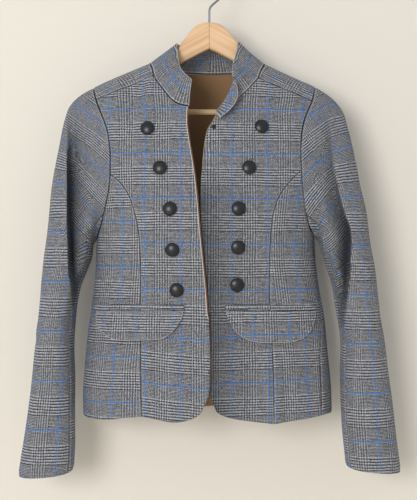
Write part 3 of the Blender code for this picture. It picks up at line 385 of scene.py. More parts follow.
def fill(left, right, top, bottom):
    """Grid of girth and row between four outlines; rows run from top to bottom."""
    rows, columns = len(left), len(top)
    down = np.linspace(0, 1, rows)[:, None, None]
    across = np.linspace(0, 1, columns)[None, :, None]
    ruled = (1 - across) * left[:, None] + across * right[:, None]
    ruled = ruled + (1 - down) * top[None] + down * bottom[None]
    corners = ((1 - across) * (1 - down) * top[0] + across * (1 - down) * top[-1]
               + (1 - across) * down * bottom[0] + across * down * bottom[-1])
    return ruled - corners


def hem_row(girth):
    turn = (np.asarray(girth, float) + 180) % 360 - 180
    back_wave = 691 + 2.5 * np.sin(np.radians(girth * 6))
    return np.where(np.abs(turn) > 110, back_wave, smooth(turn, HEM["girth"], HEM["drop"]))


def side_seam(side, start, count):
    """Side seam from the underarm point down to the hem."""
    drops = np.linspace(start[1], 700, 8)
    girths = smooth(drops, SIDE_SEAM_GIRTH["drop"], SIDE_SEAM_GIRTH[side])
    girths = girths + (start[0] - girths[0]) * np.linspace(1, 0, 8) ** 2
    last = hem_row(girths[-1])
    drops = start[1] + (drops - start[1]) * (last - start[1]) / (700 - start[1])
    return outline(np.stack([girths, drops], -1), count)


def join(*parts):
    return np.concatenate([parts[0]] + [part[1:] for part in parts[1:]])


def edge_line(rows):
    """Front edge, its stations level with those of the armhole and of the princess seam."""
    fine = xy_outline(rows, 200)
    levels = join(np.linspace(fine[0, 1], EDGE_SPLIT, ARM_ROWS + 1),
                  np.linspace(EDGE_SPLIT, fine[-1, 1], HEM_ROWS + 1))
    return np.stack([np.interp(levels, fine[:, 1], fine[:, 0]), levels], -1)


# ---- seam lines shared by the panels ----
def seams(side):
    """All seam lines of one side of the body, as girth and row stations."""
    shoulder, sign = SHOULDER[side], SIGN[side]
    lines = dict(edge=edge_line(FRONT_EDGE[side]),
                 neck=xy_outline(NECK[side], NECK_COLUMNS[side]),
                 shoulder=xy_outline(shoulder, SHOULDER_COLUMNS),
                 armhole=xy_outline(ARMHOLE[side], ARM_ROWS),
                 side_top=xy_outline(SIDE_TOP[side], SIDE_COLUMNS),
                 princess=xy_outline(PRINCESS[side], HEM_ROWS))
    underarm = lines["side_top"][-1]
    lines["side"] = side_seam(side, underarm, HEM_ROWS)
    lines["princess"][-1, 1] = hem_row(lines["princess"][-1, 0])
    # back armhole: from the underarm up to the ridge, narrower across the shoulder blade
    crest_x = abs(shoulder["x"][-1]) + 8.0
    crest = ridge_drop(np.array(sign * crest_x))
    foot = body_point(*underarm)
    share, rise = BACK_ARM["x"], BACK_ARM["drop"]
    drops = -foot[2] + (crest - -foot[2]) * rise
    widths = np.interp(rise, [0, 1], [abs(foot[0]), crest_x]) * share
    back = on_body(sign * widths, drops, back=True) - [WHOLE_TURN[side], 0]
    back[0] = underarm
    lines["back_arm"] = outline(back, BACK_ARM_ROWS, bias=1.7)
    tip = on_body(shoulder["x"][-1], shoulder["drop"][-1], over=True) - [WHOLE_TURN[side], 0]
    lines["crest"] = outline([lines["back_arm"][-1], tip], CREST_ROWS)
    return lines


def cells_of(shape, missing=None):
    """Cells of a grid as four vertex numbers; the missing block of cells is left out."""
    rows, columns = shape
    cells = []
    for row in range(rows - 1):
        for column in range(columns - 1):
            if missing and row < missing[0] and missing[1] <= column < missing[2]:
                continue
            corner = row * columns + column
            cells.append((corner, corner + 1, corner + columns + 1, corner + columns))
    return cells


def open_edges(cells):
    """Directed edges that only one cell uses."""
    edges = {}
    for cell in cells:
        for a, b in zip(cell, cell[1:] + cell[:1]):
            edges[(a, b)] = cell
    return {edge: cell for edge, cell in edges.items() if edge[::-1] not in edges}


def drawn_in(grid, cells, inset):
    """Pull the open edges of a grid of points in by the inset, mitred at the corners."""
    points = grid.reshape(-1, 3).copy()
    pulls = {}
    for (a, b), cell in open_edges(cells).items():
        along = unit(points[b] - points[a])
        inward = points[list(cell)].mean(axis=0) - (points[a] + points[b]) / 2
        inward = unit(inward - along * np.dot(inward, along))
        pulls.setdefault(a, []).append(inward)
        pulls.setdefault(b, []).append(inward)
    for vertex, (first, second) in pulls.items():
        points[vertex] += (first + second) / max(1 + np.dot(first, second), 0.4) * inset
    return points.reshape(grid.shape)


def reaches(points):
    """Distance of each point of a grid from its top, bottom, left and right side."""
    down = np.linalg.norm(np.diff(points, axis=0), axis=-1).cumsum(axis=0)
    across = np.linalg.norm(np.diff(points, axis=1), axis=-1).cumsum(axis=1)
    down, across = np.pad(down, ((1, 0), (0, 0))), np.pad(across, ((0, 0), (1, 0)))
    return dict(top=down, bottom=down[-1:] - down, left=across, right=across[:, -1:] - across)


def seam_roll(points):
    """Height by which a grid's face rolls down towards its four sides, as at pressed seams."""
    off = np.min(list(reaches(points).values()), axis=0)
    return -ROLL_DEPTH * np.clip(1 - off / ROLL_REACH, 0, 1) ** 2


def seam_nearness(points, sewn, cut, block=None):
    """Distance of each point from the sewn and from the cut sides, in centimetres up to 1."""
    reach = reaches(points)
    if block:
        down, across = reach["top"], reach["left"]
        row, first, last = block
        aside = (np.maximum(across[:, first:first + 1] - across, 0)
                 + np.maximum(across - across[:, last:last + 1], 0))
        reach["block"] = np.hypot(np.maximum(down - down[row], 0), aside)
    far = np.full(points.shape[:2], 10.0)
    return np.stack([np.min([far] + [reach[side] for side in sides.split()], axis=0)
                     for sides in (sewn, cut)], -1) / 10.0


def edge_lines(grid, block=None):
    """Grid with more lines close to its sides, and to the sides of a missing block."""
    marks = list(block or ())
    for axis, own in ((0, slice(0, 1)), (1, slice(1, 3))):
        last = grid.shape[axis] - 1
        near = {mark + step for mark in (0, last, *marks[own]) for step in EDGE_STEPS}
        at = np.array(sorted(set(range(last + 1)) | {step for step in near if 0 < step < last}))
        whole = np.clip(at.astype(int), 0, last - 1)
        share = np.expand_dims(at - whole, (1, 2) if axis == 0 else (0, 2))
        grid = (np.take(grid, whole, axis=axis) * (1 - share)
                + np.take(grid, whole + 1, axis=axis) * share)
        marks[own] = [int(np.argmin(np.abs(at - mark))) for mark in marks[own]]
    return grid, tuple(marks)


# ---- fine grids ----
def finer(line, steps=FINE):
    """The same line with more stations between each two."""
    count = len(line) - 1
    return smooth(np.linspace(0, count, count * steps + 1), np.arange(count + 1), line)


def fine_seams(side):
    return {name: finer(line) for name, line in seams(side).items()}


def back_neck_lines(left, right):
    """Back neckline: a side part over each shoulder, and the middle between them."""
    rise = on_body(NECK_BACK_RISE["x"][::-1], NECK_BACK_RISE["drop"][::-1], back=True)
    start = other_way(left["neck"][-1:])
    end = other_way(right["neck"][-1:])
    crest_left = on_body(NECK_CREST["left"], ridge_drop(NECK_CREST["left"]), back=True)[None]
    crest_right = on_body(NECK_CREST["right"], ridge_drop(NECK_CREST["right"]), back=True)[None]
    lines = dict(left=outline(np.concatenate([start, crest_left, rise[:1]]), NECK_ROWS),
                 middle=outline(rise, NECK_COLUMNS["back"]),
                 right=outline(np.concatenate([end, crest_right, rise[-1:]]), NECK_ROWS))
    return {name: finer(line) for name, line in lines.items()}


def front_grid(side, lines):
    outer_side = join(lines["armhole"], lines["princess"])
    top = join(lines["neck"], lines["shoulder"])
    bottom = xy_outline(HEM_FRONT[side], len(top) - 1)
    bottom[-1] = lines["princess"][-1]
    return fill(lines["edge"], outer_side, top, bottom)


def side_front_grid(lines):
    start, end = lines["princess"][-1], lines["side"][-1]
    girths = np.linspace(start[0], end[0], len(lines["side_top"]))
    bottom = np.stack([girths, hem_row(girths)], -1)
    return fill(lines["princess"], lines["side"], lines["side_top"], bottom)


def turned(line, whole):
    return line + [whole, 0]


def back_grid(right, left):
    """Grid of the back and the block of its cells that the neckline leaves out."""
    left_side = join(left["crest"][::-1], left["back_arm"][::-1], left["side"])
    right_side = turned(join(right["crest"][::-1], right["back_arm"][::-1], right["side"]), 360)
    necks = back_neck_lines(left, right)
    columns = BACK_COLUMNS * FINE
    hem_girths = np.linspace(left_side[-1, 0], right_side[-1, 0], columns + 1)
    hem = np.stack([hem_girths, hem_row(hem_girths)], -1)
    first, last, neck = SHOULDER_COLUMNS * FINE, columns - SHOULDER_COLUMNS * FINE, NECK_ROWS * FINE
    level = (left_side[neck:, 1] + right_side[neck:, 1])[:, None]
    share = (level - level[0]) / (level[-1] - level[0])
    seams_down = [corner + (foot - corner) * share
                  for corner, foot in ((necks["middle"][0], hem[first]),
                                       (necks["middle"][-1], hem[last]))]
    grid = np.zeros((len(left_side), columns + 1, 2))
    grid[:, :first + 1] = fill(left_side, join(necks["left"], seams_down[0]),
                               other_way(left["shoulder"])[::-1], hem[:first + 1])
    grid[:, last:] = fill(join(necks["right"], seams_down[1]), right_side,
                          other_way(right["shoulder"]), hem[last:])
    grid[neck:, first:last + 1] = fill(seams_down[0], seams_down[1], necks["middle"],
                                       hem[first:last + 1])
    return grid, (neck, first, last)


# ---- creases ----
# soft troughs and ridges: from one end to the other, their spread and height
CREASES_FRONT = table(
    "x1 drop1 x2 drop2 spread height", (-108, 176, -122, 240, 8, -3.2), (-92, 172, -101, 238, 9, 1.6),
    (-140, 196, -150, 262, 7, 1.4), (-60, 300, -132, 268, 10, -1.3), (-36, 345, -112, 372, 12, 1.2),
    (-70, 420, -100, 510, 9, 1.1), (-128, 600, -134, 694, 9, 2.2), (-160, 610, -152, 694, 8, -1.8),
    (-82, 600, -92, 692, 8, -2.2), (-52, 590, -56, 690, 10, 1.8), (98, 182, 116, 250, 10, -1.8),
    (70, 260, 128, 300, 12, -1.2), (40, 345, 84, 400, 12, 1.2), (120, 420, 132, 510, 10, -1.4),
    (60, 600, 66, 690, 9, -1.6), (88, 590, 90, 696, 5, 2.4), (128, 600, 136, 690, 9, 2.0),
    (158, 590, 160, 690, 8, -1.6))
CREASES_BACK = table(
    "x1 drop1 x2 drop2 spread height", (-150, 215, -66, 300, 13, -2.6), (140, 220, 74, 296, 14, -2.2),
    (-60, 190, -48, 330, 16, 1.8), (44, 185, 62, 345, 18, 1.6), (-120, 400, -20, 452, 12, -2.0),
    (112, 392, 26, 440, 11, -2.3), (-96, 455, -10, 478, 9, -1.5), (92, 448, 30, 470, 10, -1.3),
    (-84, 520, -92, 690, 14, 2.2), (-28, 540, -22, 690, 16, -1.9), (38, 530, 44, 690, 13, 1.9),
    (104, 560, 116, 690, 12, -2.1))

# the same on the sleeves, with the angle round the sleeve in place of x
CREASES_SLEEVE = dict(
    right=table(
        "x1 drop1 x2 drop2 spread height", (12, 560, 70, 640, 10, -1.6), (30, 300, 62, 392, 8, 1.6),
        (64, 470, 30, 560, 9, 1.5), (96, 600, 66, 700, 10, -1.4), (-40, 420, -110, 470, 16, -2.2),
        (-30, 500, -120, 520, 13, 1.8), (-60, 300, -120, 360, 18, -1.8),
        (-90, 560, -150, 600, 14, -1.6), (150, 420, 120, 520, 12, 1.6), (-20, 640, -70, 740, 14, 1.2)),
    left=table(
        "x1 drop1 x2 drop2 spread height", (10, 535, 64, 620, 9, -1.6), (24, 310, 58, 400, 9, 1.5),
        (70, 455, 34, 548, 8, 1.6), (90, 620, 60, 716, 11, -1.4), (-36, 400, -104, 455, 15, -2.0),
        (-44, 488, -124, 506, 12, 1.9), (-52, 290, -116, 352, 17, -1.7),
        (-100, 575, -156, 612, 13, -1.4), (148, 405, 116, 500, 13, 1.5), (-16, 655, -60, 742, 13, 1.3)))
# blue lines of the check: arc of one that runs down and row of one that runs across; on the
# side fronts, row of one across and the girth at which the cloth's grain runs straight down
FRONT_CHECK = dict(right=(-45.0, 284.0), left=(33.0, 286.0))
FLAP_CHECK = dict(right=(-113, 581), left=(66, 565))
WELT_CHECK = (0, 560)
COLLAR_CHECK = (19, -24)                     # shift along the band and down it
SIDE_FRONT_CHECK = dict(right=(389.5, -45.5), left=(425.0, 49.0))
# on the sleeves: drop of one blue line across, the repeat down the sleeve, and how far outside
# the long fold that drop holds
SLEEVE_CHECK = dict(right=dict(level=328.9, pitch=76.6, cap=20.0),
                    left=dict(level=351.9, pitch=75.7, cap=12.0))
SLEEVE_SEED = dict(right=3.0, left=4.0)      # where the sleeves' slackness starts
# place of the blue line that runs down the front of each sleeve
DOWN_LINE = dict(
    right=table(
        "drop x", (250, 204), (330, 212), (405, 216.8), (468, 218), (509, 222.3), (597, 225.7),
        (694, 231), (779, 237.3)),
    left=table(
        "drop x", (230, 190), (280, 202.5), (334, 216.3), (382, 224), (429, 232.6), (509, 241.4),
        (582, 249), (655, 255.4), (732, 260.8), (790, 265)))
# slope of the lines across, towards the body inside the long fold and outside it
SLANT = dict(
    right=table(
        "drop inside outside", (200, 0.7, 0.75), (250, 0.72, 0.72), (300, 0.9, 0.3), (340, 1.0, 0.05),
        (370, 1.0, 0), (420, 1.0, 0), (480, 1.0, 0), (530, 0.8, 0), (570, 0.2, 0), (610, 0, 0),
        (800, 0, 0)),
    left=table(
        "drop inside outside", (200, 0.55, 0.3), (250, 0.62, 0.32), (300, 0.75, 0.2), (340, 0.85, 0.08),
        (370, 0.9, 0), (430, 0.95, 0), (490, 0.8, 0), (540, 0.3, 0), (590, 0, 0), (800, 0, 0)))


def crease_height(rows, x, drop):
    """Height of the creases at each place; they fade to nothing at both ends."""
    height = np.zeros(x.shape)
    for x1, drop1, x2, drop2, spread, rise in zip(*rows.values()):
        run = np.array([x2 - x1, drop2 - drop1])
        length = np.hypot(*run)
        run = run / length
        along = ((x - x1) * run[0] + (drop - drop1) * run[1]) / length
        off = (x - x1) * run[1] - (drop - drop1) * run[0]
        wander = 0.25 * spread * np.sin(along * 5 + x1)
        ends = eased(np.clip(along + 0.25, 0, 1) * np.clip(1.25 - along, 0, 1) * 4)
        height = height + rise * ends * np.exp(-((off + wander) / spread) ** 2)
    return height


def slackness(x, drop, seed):
    """Small uneven rise and fall of cloth that nothing holds flat."""
    return (0.55 * np.sin(x / 23 + 1.3 * seed) * np.sin(drop / 41 + seed)
            + 0.4 * np.sin(x / 13 - drop / 29 + 2.1 * seed)
            + 0.3 * np.sin(x / 31 + drop / 17 + 0.7 * seed))


# ---- cloth coordinates ----
FRONT_DRAG = dict(right=13.0, left=3.0)   # how far the lines drop at the front edges
ROW_STEP, GIRTH_STEP = 20.0, 2.0
ARC_ROWS = np.arange(216, 717, ROW_STEP)
ARC_GIRTHS = np.arange(-200, 401, GIRTH_STEP)


def arc_table():
    """Length of the cloth round the body from the centre front, by row and girth."""
    x, y, _, _ = plain_body(ARC_GIRTHS[None], ARC_ROWS[:, None])
    steps = np.hypot(np.diff(x, axis=1), np.diff(y, axis=1))
    length = np.concatenate([np.zeros((len(ARC_ROWS), 1)), np.cumsum(steps, axis=1)], axis=1)
    centre = int(np.argmin(np.abs(ARC_GIRTHS)))
    return length - length[:, centre:centre + 1]


ARCS = arc_table()


def girth_arc(girth, row):
    down = np.clip((row - ARC_ROWS[0]) / ROW_STEP, 0, len(ARC_ROWS) - 1.001)
    turn = np.clip((girth - ARC_GIRTHS[0]) / GIRTH_STEP, 0, len(ARC_GIRTHS) - 1.001)
    i, j = down.astype(int), turn.astype(int)
    a, b = down - i, turn - j
    return ((1 - a) * ((1 - b) * ARCS[i, j] + b * ARCS[i, j + 1])
            + a * ((1 - b) * ARCS[i + 1, j] + b * ARCS[i + 1, j + 1]))


def body_cloth(grid, arc, level, grain=0.0):
    """Cloth coordinates, with a blue line down at the arc and one across at the level."""
    girth, row = grid[..., 0], grid[..., 1]
    across = girth_arc(girth, row) - girth_arc(np.full(row.shape, grain), row)
    return np.stack([across - arc, level - row], -1)


def front_cloth(side, grid):
    """Cloth coordinates of a front; low down its lines run down towards the front edge."""
    cloth = body_cloth(grid, *FRONT_CHECK[side])
    in_from_edge = np.abs(grid[..., 0] - grid[:, :1, 0]) * 1.6
    low = np.clip((grid[..., 1] - 480) / 130, 0, 1)
    drag = FRONT_DRAG[side] * low * np.clip(1 - in_from_edge / 70, 0, 1) ** 1.3
    cloth[..., 1] += drag
    return cloth


def back_cloth(grid):
    """Cloth coordinates of the back; past the ridge they run on as flat cloth does."""
    girth, row = grid[..., 0], grid[..., 1]
    x, _, _, past = plain_body(girth, row)
    ridge = ridge_drop(x)
    over = np.maximum(-past, 0)
    slope = np.radians(23.0) * np.sign(x)
    across = girth_arc(girth, row) - girth_arc(np.full(row.shape, 180.0), row)
    level = ridge_drop(130 * np.sign(x)) - ridge
    share = np.clip((48 - past) / 60, 0, 1)
    down = np.maximum(row, ridge - CREST) + level * share - over
    return np.stack([across - over * np.sin(slope), 284.0 - down], -1)


# ---- meshes ----
def new_object(name, points, faces, materials, slots=None, maps=(), sharp=math.radians(60)):
    """Mesh object in metres; each map is a name and a pair of coordinates for each point."""
    mesh = bpy.data.meshes.new(name)
    mesh.from_pydata((np.asarray(points) * MM).tolist(), [], faces)
    for material in materials:
        mesh.materials.append(material)
    if slots is not None:
        mesh.polygons.foreach_set("material_index", slots)
    for map_name, pairs in maps:
        mesh.uv_layers.new(name=map_name)
        corners = np.zeros(len(mesh.loops), dtype=np.int32)
        mesh.loops.foreach_get("vertex_index", corners)
        mesh.uv_layers[map_name].data.foreach_set("uv", np.asarray(pairs)[corners].ravel())
    mesh.shade_smooth()
    mesh.set_sharp_from_angle(angle=sharp)
    return linked(name, mesh)


def dressed(piece, node):
    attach(piece, "root")
    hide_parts(node)


def cloth_piece(node, outer, inner, cells, cloth, near, materials, shade=None):
    """Thin wall of cloth: face, reverse and two-tone cut edges; it replaces its solid."""
    size = outer.shape[0] * outer.shape[1]
    used = sorted({vertex for cell in cells for vertex in cell})
    number = {vertex: place for place, vertex in enumerate(used)}
    below = len(used)
    if shade is None:
        shade = np.zeros(outer.shape[:2])
    hidden_until = SLEEVE_HIDDEN * size if "sleeve" in node else 0
    faces, slots = [], []
    for cell in cells:
        corners = [number[vertex] for vertex in cell]
        faces += [tuple(corners), tuple(below + corner for corner in reversed(corners))]
        slots += [0, 0 if cell[0] < hidden_until else 1]
    for a, b in open_edges(cells):
        a, b = number[a], number[b]
        faces.append((b, a, 2 * below + a, 2 * below + b))
        faces.append((2 * below + b, 2 * below + a, below + a, below + b))
        slots += [2, 3]
    flat_outer, flat_inner = outer.reshape(size, 3)[used], inner.reshape(size, 3)[used]
    points = np.concatenate([flat_outer, flat_inner, (flat_outer + flat_inner) / 2])
    # the third map carries painted shade, from folds and overlapping edges, to the material
    pattern, nearness, painted_shade = (np.tile(pairs.reshape(size, 2)[used], (3, 1))
                               for pairs in (cloth, near, np.stack([shade, shade], -1)))
    piece = new_object(node + "_cloth", points, faces, materials, slots,
                       (("cloth", pattern * MM), ("seams", nearness), ("painted_shade", painted_shade)))
    working = bmesh.new()
    working.from_mesh(piece.data)
    loose = [vertex for vertex in working.verts if not vertex.link_faces]
    bmesh.ops.delete(working, geom=loose, context="VERTS")
    bmesh.ops.recalc_face_normals(working, faces=working.faces[:])
    working.to_mesh(piece.data)
    working.free()
    dressed(piece, node)


def body_piece(node, grid, cloth_of, materials, sewn, cut="", lift_of=None, block=None, seed=1.0):
    """Panel of the body on the solid's form, with its creases."""
    grid, block = edge_lines(grid, block)
    girth, row = grid[..., 0], grid[..., 1]
    cells = cells_of(girth.shape, block)
    x, _, drop, past = plain_body(girth, row)
    normal = body_normal(girth, row)
    rear = (np.cos(np.radians(girth)) < 0) ^ (past < 0)
    rise = np.where(rear, crease_height(CREASES_BACK, x, drop),
                    crease_height(CREASES_FRONT, x, drop))
    rise = rise + slackness(x, drop, seed) * np.clip((drop - 200) / 80, 0.2, 1)
    if lift_of is not None:
        rise = rise + lift_of(grid)
    points = drawn_in(body_point(girth, row), cells, SEAM) + normal * rise[..., None]
    outer = points + normal * seam_roll(points)[..., None]
    near, shade = seam_nearness(points, sewn, cut, block), None
    left_front = node == "front_left"
    near[..., 1] += np.clip((drop - RAW_UNTIL["left" if left_front else "right"]) / 40, 0, 1)
    near[..., 0] += NECK_SOFT * (drop < 232) * (np.abs(x) < 84) * (normal[..., 1] < 0)
    if left_front:
        near[..., 1] *= 0.3 + 0.7 * np.clip((drop - 228) / 22, 0, 1)
        # painted shadow beside this front's edge, where the wearer's right front lies over it; none
        # high up
        from_edge = (girth - girth[:, :1]) * 1.6
        shade = (0.62 * np.exp(-from_edge / 9.0) + 0.16 * np.exp(-from_edge / 34.0)) \
            * np.clip((drop - 290) / 70, 0, 1)
    cloth_piece(node, outer, points - normal * CLOTH, cells, cloth_of(grid), near, materials,
                shade=shade)


def front_lift(grid):
    """The wearer's right front stands a little off near its edge."""
    from_edge = grid[..., 0] - grid[:, :1, 0]
    near_edge = np.exp(-(from_edge / 4.0) ** 2)
    low = np.clip((grid[..., 1] - 330) / 80, 0, 1)
    return 2.0 * near_edge * low


# ---- collar ----
def collar_shape(right, left, rows):
    """Middle surface of the collar's band and its normal."""
    back = back_neck_lines(left, right)
    back_line = join(back["right"], back["middle"][::-1], back["left"][::-1])
    parts = right["neck"], back_line, left["neck"][::-1]
    base = join(*(body_point(*line.T) for line in parts))
    normal = body_normal(*join(parts[0], turned(back_line, -360), parts[2]).T)
    away = unit(np.cross(normal, np.gradient(base, axis=0)))
    away *= np.sign(np.sum(away * (np.array([0, 0, -100.0]) - base), axis=-1, keepdims=True))
    along = np.concatenate([[0]] + [part + np.arange(1, len(line)) / (len(line) - 1)
                                    for part, line in enumerate(parts)])
    bend, top = (np.stack([read(COLLAR, f"{name}_{key}", along, "along")
                           for key in ("x", "y", "drop")], -1) * [1, 1, -1]
                 for name in ("bend", "top"))
    level = np.sum(unit(bend - base) * away, axis=-1, keepdims=True)
    base = base + away * (COLLAR_CLOTH / 2 * np.sqrt(1 - level ** 2) + 1.5 * SEAM)
    base = base - normal * CLOTH / 2 * np.maximum(level, 0)
    share = np.linspace(0, 1, rows + 1)[:, None, None]
    middle = (1 - share) ** 2 * base + 2 * share * (1 - share) * bend + share ** 2 * top
    return middle, unit(np.cross(np.gradient(middle, axis=1), np.gradient(middle, axis=0)))


def collar_piece(right, left, materials):
    middle, normal = collar_shape(right, left, COLLAR_ROWS)
    half = normal * COLLAR_CLOTH / 2
    reach = reaches(middle)
    along = np.tile(reach["left"][COLLAR_ROWS // 2], (len(middle), 1))
    cloth = np.stack([along, reach["top"]], -1) + COLLAR_CHECK
    cloth_piece("collar", middle + half, middle - half, cells_of(middle.shape[:2]), cloth,
                seam_nearness(middle, "top", "bottom left right"), materials)


# ---- sleeves ----
def sleeve_section(side, theta, drop):
    """Point of the sleeve's section: 0 is outward, 90 forward, 180 towards the body."""
    outer, inner, front, back = (read(SLEEVE[side], key, drop)
                                 for key in ("outer", "inner", "front", "back"))
    cosine, sine = np.cos(np.radians(theta)), np.sin(np.radians(theta))
    across = (outer + inner) / 2 + (outer - inner) / 2 * np.sign(cosine) * np.abs(cosine) ** 0.85
    middle = (front + back) / 2
    y = middle + (np.where(sine > 0, front, back) - middle) * np.abs(sine) ** 0.85
    edge, valley = read(FOLD[side], "edge", drop), read(FOLD[side], "depth", drop)
    inward = np.clip((edge - across) / np.maximum(edge - inner, 30), 0, 1)
    drawn = np.clip(inward / FOLD_WALL, 0, 1)
    rising = np.clip((inward - FOLD_WALL) / (1 - FOLD_WALL), 0, 1) ** 0.75
    gentle = 0.5 + 0.5 * np.cos(math.pi * rising)
    y = y + valley * eased(drawn) * gentle * np.clip(sine / 0.3, 0, 1) ** 0.85
    lap = np.where(sine > 0, FOLD_LAP * np.sin(math.pi * drawn) * valley / FOLD_DEPTH, 0)
    return np.stack([SIGN[side] * (across + lap), y, -drop], -1), across - edge


def slanted(side, column, drops):
    """Slope of the lines across at each drop, and its sum from there down to the cuff."""
    rows = SLANT[side]
    levels = np.arange(150.0, 801.0, 5.0)
    slopes = np.interp(levels, rows["drop"], rows[column])
    sums = (slopes[::-1].cumsum() * 5.0)[::-1]
    return np.interp(drops, levels, slopes), np.interp(drops, levels, sums)


def sleeve_cloth(side, middle, arc, beyond, drops, theta):
    """Cloth coordinates: level round the sleeve, but dragged aslant inside the long fold."""
    past_line = np.abs(middle[..., 0]) - read(DOWN_LINE[side], "x", drops)
    front, back = np.flatnonzero((theta >= 0) & (theta <= JUNCTION))[::-1], theta < 0
    from_line, from_edge = arc.copy(), arc.copy()
    for place, off in ((from_line, past_line), (from_edge, beyond)):
        for ring, (reach, length) in enumerate(zip(off[:, front], arc[:, front])):
            order = np.argsort(reach)
            place[ring] -= np.interp(0, reach[order], length[order])
    inward = -beyond
    inward[:, back] = inward[:, front[:1]]
    slope_in, sum_in = slanted(side, "inside", drops)
    slope_out, sum_out = slanted(side, "outside", drops)
    inside = np.clip(inward / 5.0, 0, 1) * np.clip((560 - drops) / 60, 0, 1) * ~back
    values = SLEEVE_CHECK[side]
    down = (drops - values["level"]) * REPEAT_DOWN / values["pitch"]
    down = down - slope_in * np.maximum(inward, 0)
    down = down - slope_out * (np.minimum(inward, 0) + values["cap"])
    hidden = from_edge - inward * 1.08 + 0.7 * sum_in
    across = from_line - inside * np.where(inward > 0, hidden, 0) - 0.7 * sum_out
    return np.stack([-across, -down], -1)


def sleeve_pieces(side, lines, materials):
    """Sleeve: a tube from the armhole's loop to the cuff, cut as a top and an under sleeve."""
    loop = join(*(lines[name][::-1] for name in ("side_top", "armhole", "crest", "back_arm")))[:-1]
    theta = np.concatenate([
        np.linspace(first, last, count * FINE + 1)[:-1]
        for first, last, count in ((UNDERARM, JUNCTION, SIDE_COLUMNS),
                                   (JUNCTION, SHOULDER_TIP, ARM_ROWS),
                                   (SHOULDER_TIP, 0, CREST_ROWS), (0, -UNDERARM, BACK_ARM_ROWS))])
    outward, forward = np.cos(np.radians(theta)), np.sin(np.radians(theta))
    seam, seam_normal, cuff = body_point(*loop.T), body_normal(*loop.T), CUFF[side]
    start = -seam[:, 2]
    end = cuff["level"] + cuff["outward"] * outward + cuff["forward"] * forward
    drops = start + (end - start) * finer(np.array(SLEEVE_SHARES)[:, None], 6)
    # the armhole's loop differs from the plain section, a difference that soon fades
    correction = seam - sleeve_section(side, theta, start)[0]
    settle = 12 + 75 * ((1 + outward) / 2) ** 0.6
    fade = np.clip(1 - (drops - start) / settle, 0, 1) ** 3
    middle, beyond = sleeve_section(side, theta, drops)
    middle = middle + correction * fade[..., None]
    beyond = beyond + SIGN[side] * correction[:, 0] * fade
    around = np.roll(middle, -1, axis=1) - np.roll(middle, 1, axis=1)
    normal = np.cross(around, np.gradient(middle, axis=0))
    from_centre = middle - middle.mean(axis=1, keepdims=True)
    normal = unit(normal) * np.sign(np.sum(normal[40:] * from_centre[40:]))
    rise = crease_height(CREASES_SLEEVE[side], np.broadcast_to(theta, drops.shape), drops)
    rise = rise + slackness(middle[..., 0], -middle[..., 2], SLEEVE_SEED[side])
    middle = middle + normal * (rise * np.clip((drops - start) / 40, 0, 1))[..., None]
    away = unit(np.cross(seam_normal, np.roll(seam, -1, axis=0) - np.roll(seam, 1, axis=0)))
    away *= np.sign(np.sum(away * (seam.mean(axis=0) - seam), axis=-1, keepdims=True))
    middle[0] += away * 1.6 * SEAM
    steps = np.linalg.norm(np.diff(middle, axis=1, append=middle[:, :1]), axis=-1)
    arc = np.cumsum(steps, axis=1) - steps
    arc = arc[:, [len(theta) - BACK_ARM_ROWS * FINE]] - arc
    cloth = sleeve_cloth(side, middle, arc, beyond, drops, theta)
    # the fold's steep side is thinner, and painted shade lies in it
    valley = np.clip(read(FOLD[side], "depth", drops) / FOLD_DEPTH, 0, 1.1)
    valley = np.where((theta >= 0) & (theta <= JUNCTION + 40), valley, 0)
    wall = CLOTH * (1 - 0.6 * np.exp(-((beyond + 3.0) / 12.0) ** 4) * np.clip(valley * 9, 0, 1))
    past = np.clip((1.0 - beyond) / 4.0, 0, 1) * np.exp(np.minimum(beyond + 5, 0) / FOLD_SHADE)
    painted_shade = np.clip(valley * past, 0, 1)
    stations = np.arange(len(theta) + 1) % len(theta)
    front_seam, back_seam = UNDER_FRONT * FINE, len(theta) - UNDER_BACK * FINE
    for part, columns in (("top", stations[front_seam:back_seam + 1]),
                          ("under", join(stations[back_seam:], stations[:front_seam + 1]))):
        grid, outwards, pattern = middle[:, columns], normal[:, columns], cloth[:, columns]
        if part == "under":
            level = SLEEVE_CHECK[side]["level"] - drops[:, columns]
            pattern = np.stack([reaches(grid)["left"], level], -1)
        cells = cells_of(grid.shape[:2])
        inset = drawn_in(grid, cells, SEAM)
        cloth_piece(f"{part}_sleeve_{side}", inset + outwards * seam_roll(grid)[..., None],
                    inset - outwards * wall[:, columns, None], cells, pattern,
                    seam_nearness(grid, "top left right", ""), materials, shade=painted_shade[:, columns])


# ---- pockets, buttons, snap ----
def laid_on(node, grid, thickness, cloth, materials, flare, cut):
    """Cloth that lies on a front and stands off towards its lower edge."""
    normal = body_normal(grid[..., 0], grid[..., 1])
    stand = ON_FACETS + flare * np.linspace(0, 1, len(grid))[:, None, None] ** 1.5
    base = body_point(grid[..., 0], grid[..., 1]) + normal * stand
    cloth_piece(node, base + normal * thickness, base, cells_of(grid.shape[:2]), cloth,
                seam_nearness(base, "top", cut), materials)


